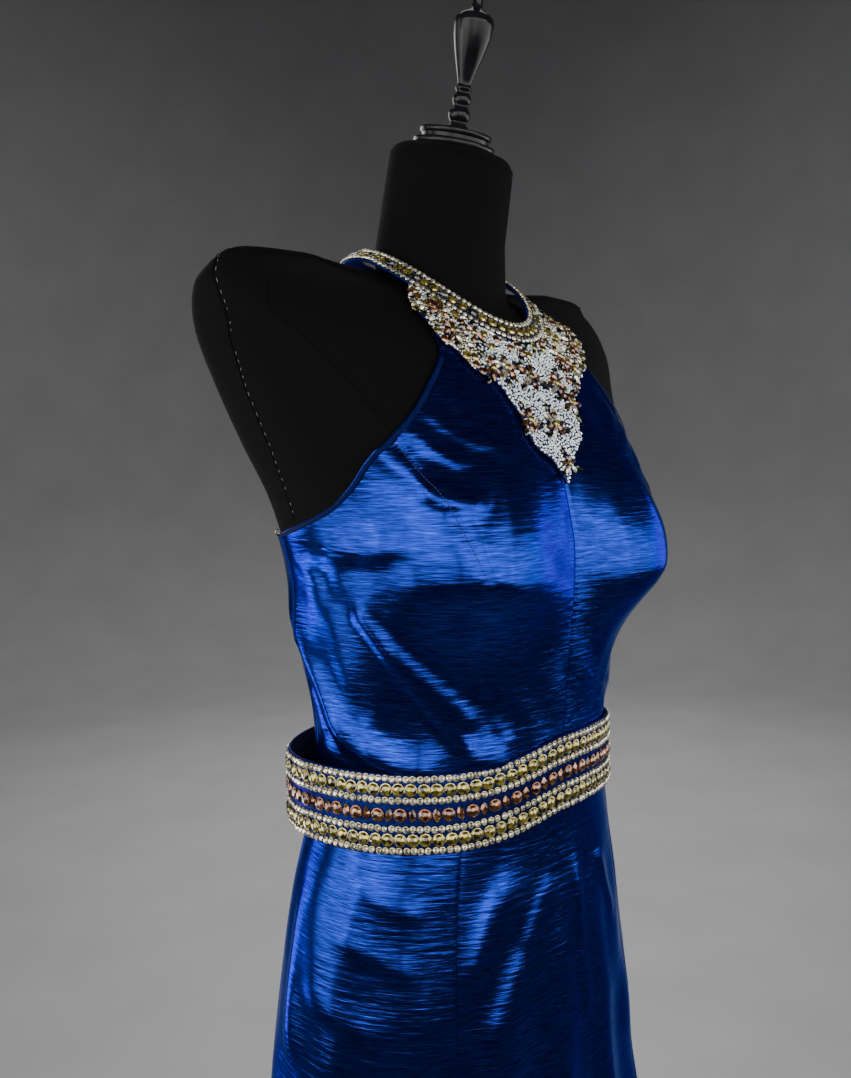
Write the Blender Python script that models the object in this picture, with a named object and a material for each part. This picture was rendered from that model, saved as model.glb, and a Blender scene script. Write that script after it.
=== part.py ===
"""A halter dress with a jewelled collar, yoke and belt, on a limbless dress form and its stand.

Metres, +Z up. The origin is on the floor under the stand's centre, the figure faces -Y and its right side is
at -X. An azimuth is in degrees round the figure from its front, positive towards its left side, and a rise is
a height above the waist.
"""

from collections import namedtuple
from math import atan2, ceil, cos, degrees, exp, hypot, pi, radians, sin, tan

import bmesh
import bpy
from mathutils import Vector

# Driving heights and thicknesses
WAIST = 1.050
SKIRT_DROP = 0.460
FORM_DROP = 0.330
GAP = 0.0003
CLOTH = 0.0012
CLOTH_REST = 0.0016

# Dress form: horizontal sections
Section = namedtuple("Section", "rise half front back side square")
FORM_SECTIONS = (
    Section(-0.330, 0.1400, 0.0940, 0.1120, 0.010, 2.10),
    Section(-0.240, 0.1470, 0.1000, 0.1190, 0.011, 2.10),
    Section(-0.160, 0.1455, 0.1020, 0.1185, 0.012, 2.10),
    Section(-0.080, 0.1340, 0.0980, 0.1100, 0.010, 2.10),
    Section(-0.030, 0.1225, 0.0960, 0.1000, 0.005, 2.10),
    Section(0.000, 0.1150, 0.0975, 0.0950, 0.004, 2.10),
    Section(0.050, 0.1145, 0.0985, 0.0970, 0.004, 2.15),
    Section(0.100, 0.1225, 0.1035, 0.1020, 0.006, 2.20),
    Section(0.165, 0.1315, 0.1070, 0.1050, 0.010, 2.25),
    Section(0.210, 0.1435, 0.1015, 0.1080, 0.018, 2.25),
    Section(0.250, 0.1612, 0.0885, 0.1090, 0.026, 2.40),
    Section(0.290, 0.1785, 0.0735, 0.1110, 0.033, 2.40),
    Section(0.325, 0.1940, 0.0540, 0.1060, 0.034, 2.35),
    Section(0.3480, 0.1970, 0.0255, 0.0960, 0.0310, 2.30),
    Section(0.3590, 0.1900, 0.0050, 0.0850, 0.0260, 2.20),
    Section(0.3640, 0.1850, -0.0045, 0.0745, 0.0215, 2.10),
    Section(0.3674, 0.1775, -0.0092, 0.0650, 0.0185, 2.00),
    Section(0.3690, 0.1650, -0.0095, 0.0560, 0.0165, 2.00),
    Section(0.3700, 0.1350, -0.0110, 0.0470, 0.0150, 2.00),
    Section(0.3710, 0.0700, -0.0120, 0.0380, 0.0140, 2.00),
    Section(0.3850, 0.0200, 0.0070, 0.0330, 0.0130, 2.00),
    Section(0.4570, 0.0200, 0.0214, 0.0186, -0.0014, 2.00),
)
Bust = namedtuple("Bust", "swell azimuth width rise above below")
FORM_BUST = Bust(0.0335, 36.5, 23.0, 0.158, 0.0800, 0.0395)
CLOTH_BUST = Bust(0.0364, 36.5, 23.0, 0.158, 0.0815, 0.0401)

# Shoulders, which are a little higher away from the neck
SHOULDER_LIFT = 0.0053
SHOULDER_LIFT_FROM = 0.088
SHOULDER_LIFT_TO = 0.128
LIFT_FROM_RISE = 0.330
LIFT_TO_RISE = 0.362

# Neck: a cylinder that leans forward, closed by a low dome
NECK_BASE_RISE = 0.395
NECK_BASE_Y = 0.0130
NECK_BASE_RADIUS = 0.0495
NECK_TOP_RISE = 0.457
NECK_TOP_Y = -0.0014
NECK_TOP_RADIUS = 0.0457
NECK_TILT = 16.0
LEAN_FROM_RISE = 0.388
NECK_BLEND = 9
DOME_STEPS = ((0.0445, 0.0035), (0.0400, 0.0070), (0.0330, 0.0092))

# Neck cap and finial: radius and height along the neck's axis
CAP_SEAT = 0.0095
CAP_PROFILE = ((0.0305, 0.0000), (0.0305, 0.0040), (0.0250, 0.0050), (0.0250, 0.0078), (0.0268, 0.0088),
               (0.0268, 0.0118))
CAP_HEIGHT = CAP_PROFILE[-1][1]
FINIAL_PROFILE = (
    (0.0100, 0.0000), (0.0086, 0.0030), (0.0060, 0.0060), (0.0078, 0.0095), (0.0078, 0.0135),
    (0.0052, 0.0175), (0.0066, 0.0205), (0.0066, 0.0240), (0.0050, 0.0270), (0.0062, 0.0300),
    (0.0050, 0.0330), (0.0078, 0.0430), (0.0110, 0.0540), (0.0134, 0.0640), (0.0144, 0.0710),
    (0.0144, 0.0750), (0.0120, 0.0790), (0.0070, 0.0820), (0.0040, 0.0850), (0.0036, 0.0960),
    (0.0055, 0.1000), (0.0062, 0.1050), (0.0040, 0.1100),
)

# Stand
PLATE_INSET = 0.004
PLATE_THICKNESS = 0.012
PLATE_BOSS_RADIUS = 0.028
PLATE_BOSS_HEIGHT = 0.030
POLE_RADIUS = 0.0125
BASE_PROFILE = ((0.1700, 0.0000), (0.1700, 0.0060), (0.1640, 0.0100), (0.0700, 0.0170), (0.0260, 0.0280),
                (0.0210, 0.0340), (0.0210, 0.0600))
BASE_HEIGHT = BASE_PROFILE[-1][1]

# Waist seam, which rises to a low peak at the centre front
SEAM_SIDE_RISE = 0.002
SEAM_PEAK = 0.0125
SEAM_PEAK_WIDTH = 27.0

# Bodice: the outer edge of a front, from the waist seam up the side and round the armhole
EdgeStop = namedtuple("EdgeStop", "azimuth rise")
SIDE_SEAM = (EdgeStop(112.0, 0.000), EdgeStop(109.5, 0.050), EdgeStop(107.0, 0.100), EdgeStop(105.0, 0.145),
             EdgeStop(103.0, 0.185))
ARMHOLE = (EdgeStop(103.0, 0.185), EdgeStop(95.0, 0.189), EdgeStop(84.0, 0.196), EdgeStop(74.0, 0.205),
           EdgeStop(66.8, 0.217), EdgeStop(61.0, 0.232), EdgeStop(54.8, 0.246), EdgeStop(48.8, 0.262),
           EdgeStop(43.2, 0.283), EdgeStop(39.0, 0.303), EdgeStop(40.5, 0.320))
SEAM_SHARE = 0.42
NECKLINE_RISE = 0.304
BACK_TOP_RISE = 0.160
# A panel's rows follow the waist seam at its foot, and leave it over this part of the panel's height
SIDE_LEAVES_SEAM = 1 / 4
FRONT_LEAVES_SEAM = 1 / 6
BACK_LEAVES_SEAM = 1 / 3
# How far the cloth is from the body's middle where panels meet
CENTRE_FRONT_REACH = 0.08
SIDE_REACH = 0.12
CENTRE_BACK_REACH = 0.10
SKIRT_SEAM_REACH = 0.11
FRONT_COLUMNS = 15
SEAM_ROWS = 8
ARMHOLE_ROWS = 11
BACK_COLUMNS = 9

# Bodice folds: each is a soft ridge along a line
Fold = namedtuple("Fold", "from_azimuth from_rise to_azimuth to_rise width height")
BODICE_FOLDS = (
    Fold(-72, 0.130, -42, 0.062, 0.007, 0.0026),
    Fold(-60, 0.246, -44, 0.205, 0.006, 0.0022),
    Fold(-104, 0.070, -99, 0.048, 0.006, 0.0024),
    Fold(70, 0.120, 45, 0.064, 0.008, 0.0021),
    Fold(58, 0.240, 42, 0.212, 0.007, 0.0018),
    Fold(101, 0.080, 97, 0.050, 0.006, 0.0020),
    Fold(-150, 0.070, -128, 0.050, 0.008, 0.0018),
    Fold(146, 0.078, 127, 0.054, 0.008, 0.0020),
)
METRES_PER_DEGREE = 0.0022

# Skirt: sections of the cloth's outside, and the flutes that fall from the hips
SKIRT_SECTIONS = (
    Section(-0.460, 0.1800, 0.1290, 0.1500, 0.012, 2.05),
    Section(-0.400, 0.1725, 0.1220, 0.1430, 0.012, 2.05),
    Section(-0.320, 0.1630, 0.1130, 0.1345, 0.012, 2.08),
    Section(-0.240, 0.1545, 0.1060, 0.1265, 0.012, 2.10),
    Section(-0.160, 0.1490, 0.1045, 0.1220, 0.012, 2.10),
    Section(-0.080, 0.1370, 0.1005, 0.1125, 0.010, 2.10),
    Section(-0.030, 0.1253, 0.0985, 0.1025, 0.005, 2.10),
    Section(0.000, 0.1178, 0.1001, 0.0975, 0.004, 2.10),
    Section(0.050, 0.1170, 0.1012, 0.0995, 0.004, 2.15),
)
Flute = namedtuple("Flute", "azimuth drift start width height")
SKIRT_FLUTES = (
    Flute(-164, -6, -0.120, 10.0, 0.019),
    Flute(-138, -4, -0.090, 9.0, 0.015),
    Flute(-112, -3, -0.130, 9.5, 0.021),
    Flute(-84, 2, -0.150, 9.0, 0.014),
    Flute(-58, -4, -0.110, 9.5, 0.019),
    Flute(-27, -9, -0.050, 8.0, 0.017),
    Flute(-4, -3, -0.060, 7.0, 0.015),
    Flute(18, 2, -0.055, 7.5, 0.018),
    Flute(42, 6, -0.100, 9.0, 0.016),
    Flute(70, 3, -0.140, 10.0, 0.020),
    Flute(98, 2, -0.120, 9.0, 0.015),
    Flute(124, 4, -0.100, 9.5, 0.020),
    Flute(149, 5, -0.090, 9.0, 0.016),
    Flute(174, 3, -0.140, 9.0, 0.018),
)
FRONT_SEAM_AZIMUTH = 45.0
SIDE_SEAM_AZIMUTH = 112.0
SKIRT_COLUMN_DEGREES = 5.7
SKIRT_ROWS = 12

# Belt: a band round the waist with three rows of large stones, which hangs lower and looser on its right side
BELT_HEIGHT = 0.0530
BELT_THICKNESS = 0.0018
BELT_EASE = 0.0008
BELT_BACK_EASE = 0.0032
BELT_TILT = 0.0040
BELT_LEFT_PEAK_WIDTH = 60.0
BELT_SLACK_TOP = 0.0155
BELT_SLACK_BOTTOM = 0.0090
BELT_SLACK_AZIMUTH = 118.0
BELT_SLACK_WIDTH = 34.0
BELT_BACK_FROM = 0.5
BELT_STONES = 84
StoneRow = namedtuple("StoneRow", "share peak valley")
BELT_ROWS = (
    StoneRow(0.000, 0.0000, 0.0000),
    StoneRow(0.215, 0.0034, 0.0009),
    StoneRow(0.340, 0.0006, 0.0004),
    StoneRow(0.500, 0.0036, 0.0012),
    StoneRow(0.660, 0.0006, 0.0004),
    StoneRow(0.785, 0.0034, 0.0009),
    StoneRow(1.000, 0.0000, 0.0000),
)

# Collar: a band round the neck with a row of stones between its edges
COLLAR_HALF_WIDTH = 0.0555
COLLAR_FRONT_DEPTH = 0.0730
COLLAR_BACK_DEPTH = 0.0690
COLLAR_Y = 0.0133
COLLAR_RISE = 0.3722
COLLAR_DROP = 0.0310
COLLAR_ARCH = -0.0113
COLLAR_BAND = 0.0170
COLLAR_THICKNESS = 0.0024
COLLAR_FRONT_SLOPE = 58.0
COLLAR_SIDE_SLOPE = 18.5
COLLAR_BACK_SLOPE = 38.0
COLLAR_STONES = 54
COLLAR_ROWS = (
    StoneRow(0.000, 0.0000, 0.0000),
    StoneRow(0.500, 0.0026, 0.0008),
    StoneRow(1.000, 0.0000, 0.0000),
)

# Yoke: the beaded V that hangs from the collar, by its lower edge and its raised flowers
YokeStop = namedtuple("YokeStop", "turn azimuth rise")
YOKE_EDGE = (
    YokeStop(0, 0.0, 0.2145),
    YokeStop(6, 5.0, 0.2310),
    YokeStop(12, 12.0, 0.2440),
    YokeStop(18, 14.0, 0.2600),
    YokeStop(26, 18.0, 0.2780),
    YokeStop(34, 25.0, 0.2900),
    YokeStop(42, 32.0, 0.3010),
    YokeStop(50, 37.5, 0.3130),
    YokeStop(58, 43.5, 0.3270),
    YokeStop(66, 49.5, 0.3450),
)
YOKE_TURN = 66.0
YOKE_COLUMNS = 32
YOKE_ROWS = 10
YOKE_THICKNESS = 0.0016
YOKE_LIFT = 0.0014
YOKE_SCALLOP = 0.0018
YOKE_SCALLOP_RATE = 27
YOKE_SCALLOP_FROM_TURN = 12
YOKE_FRONT_DROP = 0.095
YOKE_END_DROP_SHARE = 0.2
COLLAR_METRES_PER_DEGREE = 0.0012
Flower = namedtuple("Flower", "turn share radius")
YOKE_FLOWERS = (
    Flower(-57, 0.50, 0.0070), Flower(-46, 0.62, 0.0075), Flower(-36, 0.30, 0.0065),
    Flower(-30, 0.80, 0.0070), Flower(-21, 0.46, 0.0075), Flower(-12, 0.78, 0.0070),
    Flower(-6, 0.30, 0.0080), Flower(2, 0.60, 0.0075), Flower(3, 0.92, 0.0060),
    Flower(12, 0.42, 0.0070), Flower(18, 0.76, 0.0075), Flower(28, 0.36, 0.0065),
    Flower(33, 0.72, 0.0075), Flower(45, 0.50, 0.0075), Flower(57, 0.56, 0.0070),
)
FLOWER_HEIGHT = 0.0022

# Bound armhole edges and the closed zip at the centre back
BIND_WIDTH = 0.0028
BIND_THICKNESS = 0.0008
BIND_LIFT = 0.0005
BIND_START = 0.02
BIND_END = 0.89
BIND_INSET_DEGREES = 0.3
BIND_DROP = 0.0004
BIND_DIRECTION_STEP = 0.01
BIND_STEPS = 20
ZIP_WIDTH = 0.0070
ZIP_THICKNESS = 0.0009
ZIP_SKIRT_ROWS = 4
SLIDER_HEIGHT = 0.0016

# Mesh fineness of the turned and lofted pieces
FORM_COLUMNS = 36
TURNED_SEGMENTS = 18
BASE_SEGMENTS = 40
FORM_STRETCHES = ((-0.330, -0.100, 4), (-0.100, 0.130, 9), (0.130, 0.330, 7), (0.330, 0.365, 4),
                  (0.365, 0.371, 5), (0.371, 0.384, 2), (0.384, 0.457, 3))

# Materials: colour, roughness, metallic
Finish = namedtuple("Finish", "colour roughness metallic")
FINISHES = {
    "blue_taffeta": Finish((0.010, 0.045, 0.330), 0.34, 0.25),
    "belt_stones": Finish((0.520, 0.440, 0.230), 0.24, 0.60),
    "collar_stones": Finish((0.560, 0.500, 0.360), 0.26, 0.60),
    "beaded_yoke": Finish((0.640, 0.620, 0.580), 0.30, 0.20),
    "blue_bind": Finish((0.020, 0.070, 0.420), 0.40, 0.20),
    "form_knit": Finish((0.012, 0.012, 0.013), 0.85, 0.00),
    "black_gloss": Finish((0.010, 0.010, 0.011), 0.12, 0.00),
    "stand_metal": Finish((0.030, 0.030, 0.032), 0.35, 0.80),
}


def clear_scene():
    for item in list(bpy.data.objects):
        bpy.data.objects.remove(item, do_unlink=True)


def finish_named(name):
    found = bpy.data.materials.get(name)
    if found:
        return found
    finish = FINISHES[name]
    made = bpy.data.materials.new(name)
    made.use_nodes = True
    shader = made.node_tree.nodes["Principled BSDF"]
    shader.inputs["Base Color"].default_value = (*finish.colour, 1.0)
    shader.inputs["Roughness"].default_value = finish.roughness
    shader.inputs["Metallic"].default_value = finish.metallic
    made.diffuse_color = (*finish.colour, 1.0)
    return made


# Meshes from grids of points

def add_solid(name, points, faces, finish, sharp_angle=50):
    """A closed solid from points and faces, its faces turned outwards."""
    mesh = bpy.data.meshes.new(name)
    mesh.from_pydata([tuple(point) for point in points], [], faces)
    builder = bmesh.new()
    builder.from_mesh(mesh)
    bmesh.ops.recalc_face_normals(builder, faces=builder.faces)
    if builder.calc_volume(signed=True) < 0:
        bmesh.ops.reverse_faces(builder, faces=builder.faces)
    builder.to_mesh(mesh)
    builder.free()
    mesh.materials.append(finish_named(finish))
    mesh.shade_smooth()
    mesh.set_sharp_from_angle(angle=radians(sharp_angle))
    solid = bpy.data.objects.new(name, mesh)
    bpy.context.scene.collection.objects.link(solid)
    return solid


def grid_faces(rows, columns, first, step, wrapped):
    """Quads of a grid of points numbered row by row from first; step -1 turns them over."""
    faces = []
    for row in range(rows - 1):
        for column in range(columns if wrapped else columns - 1):
            after = (column + 1) % columns
            quad = [first + row * columns + column, first + row * columns + after,
                    first + (row + 1) * columns + after, first + (row + 1) * columns + column]
            faces.append(quad[::step])
    return faces


def wall(name, outer, inner, finish, wrapped=False, sharp_angle=50):
    """A sheet with thickness: two grids of points of one size, joined along their edges."""
    rows, columns = len(outer), len(outer[0])
    points = [point for row in outer for point in row] + [point for row in inner for point in row]
    back = rows * columns
    faces = grid_faces(rows, columns, 0, 1, wrapped) + grid_faces(rows, columns, back, -1, wrapped)
    for row in (0, rows - 1):
        for column in range(columns if wrapped else columns - 1):
            start = row * columns + column
            end = row * columns + (column + 1) % columns
            faces.append([start, end, end + back, start + back])
    if not wrapped:
        for column in (0, columns - 1):
            for row in range(rows - 1):
                start = row * columns + column
                faces.append([start, start + columns, start + columns + back, start + back])
    return add_solid(name, points, faces, finish, sharp_angle)


def loft(name, rings, finish, sharp_angle=50):
    """A solid through closed rings of points, with flat ends."""
    columns = len(rings[0])
    points = [point for ring in rings for point in ring]
    faces = grid_faces(len(rings), columns, 0, 1, True)
    faces.append(list(range(columns)))
    faces.append(list(range(len(points) - columns, len(points))))
    return add_solid(name, points, faces, finish, sharp_angle)


# Body sections

def blend(start, end, share):
    return start + (end - start) * share


def ease(share):
    share = min(max(share, 0.0), 1.0)
    return share * share * (3 - 2 * share)


def curve_through(before, start, end, after, part):
    """The point at this part of the way from start to end, on a smooth curve through four values."""
    into = (end - before) / 2
    out_of = (after - start) / 2
    square = part * part
    cube = square * part
    return (start * (2 * cube - 3 * square + 1) + into * (cube - 2 * square + part)
            + end * (3 * square - 2 * cube) + out_of * (cube - square))


def stop_at(stops, share):
    """A row between the stops, which are taken as evenly spaced, on a smooth curve through them."""
    place = min(max(share, 0.0), 1.0) * (len(stops) - 1)
    low = min(int(place), len(stops) - 2)
    around = [stops[min(max(low + shift, 0), len(stops) - 1)] for shift in (-1, 0, 1, 2)]
    return type(stops[0])(*(curve_through(*column, place - low) for column in zip(*around)))


def section_at(sections, rise):
    """The section at this rise, on a smooth curve through the listed ones."""
    rise = min(max(rise, sections[0].rise), sections[-1].rise)
    low = max(row for row in range(len(sections) - 1) if sections[row].rise <= rise)
    before, start, end, after = (sections[min(max(low + shift, 0), len(sections) - 1)]
                                 for shift in (-1, 0, 1, 2))
    span = end.rise - start.rise
    part = (rise - start.rise) / span
    values = [rise]
    for column in range(1, len(start)):
        slope_in = span * (end[column] - before[column]) / (end.rise - before.rise)
        slope_out = span * (after[column] - start[column]) / (after.rise - start.rise)
        values.append(start[column] * (2 * part**3 - 3 * part**2 + 1)
                      + end[column] * (3 * part**2 - 2 * part**3)
                      + slope_in * (part**3 - 2 * part**2 + part)
                      + slope_out * (part**3 - part**2))
    return Section(*values)


def oval_reach(section, azimuth):
    """How far the section reaches from its middle, at this azimuth."""
    across, along = sin(radians(azimuth)), cos(radians(azimuth))
    depth = section.side + section.front if along > 0 else section.back - section.side
    power = section.square
    return ((abs(across) / section.half) ** power + (abs(along) / depth) ** power) ** (-1 / power)


def bust_reach(bust, azimuth, rise):
    height = bust.above if rise > bust.rise else bust.below
    round_it = (abs(azimuth) - bust.azimuth) / bust.width
    up_it = (rise - bust.rise) / height
    return bust.swell * exp(-round_it**2 - up_it**2)


def neck_share(rise):
    return max((rise - NECK_BASE_RISE) / (NECK_TOP_RISE - NECK_BASE_RISE), 0.0)


def neck_reach(azimuth, rise, side):
    """How far the neck reaches from a section's middle, which need not be the neck's own."""
    share = neck_share(rise)
    offset = side - blend(NECK_BASE_Y, NECK_TOP_Y, share)
    radius = blend(NECK_BASE_RADIUS, NECK_TOP_RADIUS, share)
    along = offset * cos(radians(azimuth))
    inside = along * along - offset * offset + radius * radius
    return max(along + max(inside, 0.0) ** 0.5, 1e-4)


def form_middle_and_reach(azimuth, rise, bust):
    section = section_at(FORM_SECTIONS, rise)
    body = oval_reach(section, azimuth) + bust_reach(bust, azimuth, rise)
    neck = neck_reach(azimuth, rise, section.side)
    return section.side, (body**NECK_BLEND + neck**NECK_BLEND) ** (1 / NECK_BLEND)


def polar_point(azimuth, rise, middle, reach):
    turn = radians(azimuth)
    return Vector((reach * sin(turn), middle - reach * cos(turn), WAIST + rise))


def form_point(azimuth, rise):
    middle, reach = form_middle_and_reach(azimuth, rise, FORM_BUST)
    point = polar_point(azimuth, rise, middle, reach)
    lean = tan(radians(NECK_TILT)) * ease((rise - LEAN_FROM_RISE) / (NECK_TOP_RISE - LEAN_FROM_RISE))
    outward = ease((abs(point.x) - SHOULDER_LIFT_FROM) / (SHOULDER_LIFT_TO - SHOULDER_LIFT_FROM))
    lift = SHOULDER_LIFT * outward * ease((rise - LIFT_FROM_RISE) / (LIFT_TO_RISE - LIFT_FROM_RISE))
    point.z += lean * (point.y - middle) + lift
    return point


def fold_reach(azimuth, rise):
    """How far the bodice's folds stand out at this place."""
    total = 0.0
    for fold in BODICE_FOLDS:
        start_x = fold.from_azimuth * METRES_PER_DEGREE
        run_x = fold.to_azimuth * METRES_PER_DEGREE - start_x
        run_z = fold.to_rise - fold.from_rise
        from_x = azimuth * METRES_PER_DEGREE - start_x
        from_z = rise - fold.from_rise
        along = (from_x * run_x + from_z * run_z) / (run_x**2 + run_z**2)
        clamped = min(max(along, 0.0), 1.0)
        away = hypot(from_x - clamped * run_x, from_z - clamped * run_z)
        total += fold.height * exp(-(away / fold.width) ** 2)
    return total


def bodice_point(azimuth, rise, out=0.0):
    """A point of the bodice's outside, moved out by this much."""
    middle, reach = form_middle_and_reach(azimuth, rise, CLOTH_BUST)
    return polar_point(azimuth, rise, middle, reach + CLOTH_REST + CLOTH + fold_reach(azimuth, rise) + out)


def flute_reach(azimuth, rise):
    """How far the skirt's flutes stand out at this place."""
    total = 0.0
    for flute in SKIRT_FLUTES:
        grown = (flute.start - rise) / (flute.start + SKIRT_DROP)
        if grown <= 0:
            continue
        centre = flute.azimuth + flute.drift * grown
        away = (azimuth - centre + 180) % 360 - 180
        total += flute.height * grown**1.2 * exp(-(away / flute.width) ** 2)
    return total


def skirt_point(azimuth, rise, out=0.0):
    """A point of the skirt's outside, moved out by this much."""
    section = section_at(SKIRT_SECTIONS, rise)
    reach = oval_reach(section, azimuth) + flute_reach(azimuth, rise)
    return polar_point(azimuth, rise, section.side, reach + out)


def seam_rise(azimuth):
    """The rise of the waist seam."""
    azimuth = (azimuth + 180) % 360 - 180
    return SEAM_SIDE_RISE + SEAM_PEAK * exp(-(azimuth / SEAM_PEAK_WIDTH) ** 2)


def even_azimuths(point_at, count, start=0, end=360):
    """Azimuths that divide a stretch of a ring into lengths that are equal."""
    samples = 2 * (end - start)
    ring = [point_at(blend(start, end, step / samples)) for step in range(samples + 1)]
    lengths = [0.0]
    for before, after in zip(ring, ring[1:]):
        lengths.append(lengths[-1] + (after - before).length)
    azimuths, step = [], 0
    for index in range(count):
        wanted = lengths[-1] * index / count
        while lengths[step + 1] < wanted:
            step += 1
        part = (wanted - lengths[step]) / (lengths[step + 1] - lengths[step])
        azimuths.append(blend(start, end, (step + part) / samples))
    return azimuths


# Dress form

def neck_frame():
    """The middle of the neck's top, its axis and the direction across its front."""
    tilt = radians(NECK_TILT)
    top = Vector((0, NECK_TOP_Y, WAIST + NECK_TOP_RISE))
    return top, Vector((0, -sin(tilt), cos(tilt))), Vector((0, -cos(tilt), -sin(tilt)))


def neck_ring(radius, height, segments):
    top, axis, ahead = neck_frame()
    ring = []
    for step in range(segments):
        turn = 2 * pi * step / segments
        ring.append(top + axis * height + Vector((1, 0, 0)) * radius * sin(turn) + ahead * radius * cos(turn))
    return ring


def form_rises():
    rises = [FORM_STRETCHES[0][0]]
    for start, end, steps in FORM_STRETCHES:
        rises += [blend(start, end, (step + 1) / steps) for step in range(steps)]
    return rises


def form_ring(rise):
    """A ring round the form, evenly spaced in each quarter so that the shoulder ends stay round."""
    def point_at(azimuth):
        return form_point(azimuth, rise)
    azimuths = []
    for start in (0, 90, 180, 270):
        azimuths += even_azimuths(point_at, FORM_COLUMNS // 4, start, start + 90)
    return [point_at(azimuth) for azimuth in azimuths]


def build_form():
    rings = [form_ring(rise) for rise in form_rises()]
    rings += [neck_ring(radius, height, FORM_COLUMNS) for radius, height in DOME_STEPS]
    loft("form_torso", rings, "form_knit", 75)


def build_neck_cap():
    rings = [neck_ring(radius, CAP_SEAT + height, TURNED_SEGMENTS) for radius, height in CAP_PROFILE]
    loft("neck_cap", rings, "black_gloss", 35)


def build_finial():
    seat = CAP_SEAT + CAP_HEIGHT + GAP
    rings = [neck_ring(radius, seat + height, TURNED_SEGMENTS) for radius, height in FINIAL_PROFILE]
    loft("finial", rings, "black_gloss", 60)


def round_ring(radius, height, segments):
    return [Vector((radius * sin(2 * pi * step / segments), -radius * cos(2 * pi * step / segments), height))
            for step in range(segments)]


def build_form_plate():
    """The board that closes the torso, with the boss that the pole goes up to."""
    section = section_at(FORM_SECTIONS, -FORM_DROP)
    rim = []
    for step in range(TURNED_SEGMENTS * 2):
        azimuth = 180 * step / TURNED_SEGMENTS
        rim.append((azimuth, oval_reach(section, azimuth) - PLATE_INSET))
    top = -FORM_DROP - GAP
    rings = [[polar_point(azimuth, top - drop, section.side, reach) for azimuth, reach in rim]
             for drop in (0.0, PLATE_THICKNESS)]
    under = WAIST + top - PLATE_THICKNESS
    rings += [round_ring(PLATE_BOSS_RADIUS, height, TURNED_SEGMENTS * 2)
              for height in (under, under - PLATE_BOSS_HEIGHT)]
    loft("form_plate", rings, "black_gloss", 35)


def build_pole():
    top = WAIST - FORM_DROP - 2 * GAP - PLATE_THICKNESS - PLATE_BOSS_HEIGHT
    rings = [round_ring(POLE_RADIUS, height, TURNED_SEGMENTS) for height in (BASE_HEIGHT + GAP, top)]
    loft("pole", rings, "stand_metal", 35)


def build_base():
    rings = [round_ring(radius, height, BASE_SEGMENTS) for radius, height in BASE_PROFILE]
    loft("base", rings, "black_gloss", 30)


# Bodice

def front_edge(share):
    """The front panel's outer edge: the side seam first, then the armhole."""
    if share <= SEAM_SHARE:
        stop = stop_at(SIDE_SEAM, share / SEAM_SHARE)
        low = ease(share / SEAM_SHARE / SIDE_LEAVES_SEAM)
        return stop.azimuth, blend(seam_rise(SIDE_SEAM[0].azimuth), stop.rise, low)
    stop = stop_at(ARMHOLE, (share - SEAM_SHARE) / (1 - SEAM_SHARE))
    return stop.azimuth, stop.rise


def gap_degrees(reach):
    """Half of the gap between two panels, as degrees at this reach."""
    return degrees(GAP / 2 / reach)


def front_place(across, up):
    """Azimuth and rise at a share across the panel from the centre front and a share up it."""
    edge_azimuth, edge_rise = front_edge(up)
    centre_rise = blend(seam_rise(0), NECKLINE_RISE, up)
    azimuth = blend(gap_degrees(CENTRE_FRONT_REACH), edge_azimuth - gap_degrees(SIDE_REACH), across)
    rise = blend(centre_rise, edge_rise, across)
    low = ease(1 - up / FRONT_LEAVES_SEAM)
    rise = blend(rise, seam_rise(azimuth) + GAP / 2 + up * (NECKLINE_RISE - seam_rise(0)), low)
    return azimuth, rise


def build_front(side, name):
    rows = [SEAM_SHARE * row / SEAM_ROWS for row in range(SEAM_ROWS)]
    rows += [blend(SEAM_SHARE, 1, row / ARMHOLE_ROWS) for row in range(ARMHOLE_ROWS + 1)]
    sheets = []
    for out in (0.0, -CLOTH):
        sheet = []
        for up in rows:
            places = [front_place(column / FRONT_COLUMNS, up) for column in range(FRONT_COLUMNS + 1)]
            sheet.append([bodice_point(side * azimuth, rise, out) for azimuth, rise in places])
        sheets.append(sheet)
    wall(name, *sheets, "blue_taffeta")


def back_place(across, up):
    """Azimuth and rise at a share across a back from the side seam and a share up it."""
    edge_azimuth, edge_rise = front_edge(up * SEAM_SHARE)
    azimuth = blend(edge_azimuth + gap_degrees(SIDE_REACH), 180 - gap_degrees(CENTRE_BACK_REACH), across)
    centre_rise = blend(seam_rise(180), BACK_TOP_RISE, up)
    rise = blend(edge_rise, centre_rise, ease(across))
    low = ease(1 - up / BACK_LEAVES_SEAM)
    return azimuth, blend(rise, seam_rise(azimuth) + GAP / 2 + up * (BACK_TOP_RISE - seam_rise(180)), low)


def build_back(side, name):
    sheets = []
    for out in (0.0, -CLOTH):
        sheet = []
        for row in range(SEAM_ROWS + 1):
            places = [back_place(column / BACK_COLUMNS, row / SEAM_ROWS)
                      for column in range(BACK_COLUMNS + 1)]
            sheet.append([bodice_point(side * azimuth, rise, out) for azimuth, rise in places])
        sheets.append(sheet)
    wall(name, *sheets, "blue_taffeta")


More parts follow.
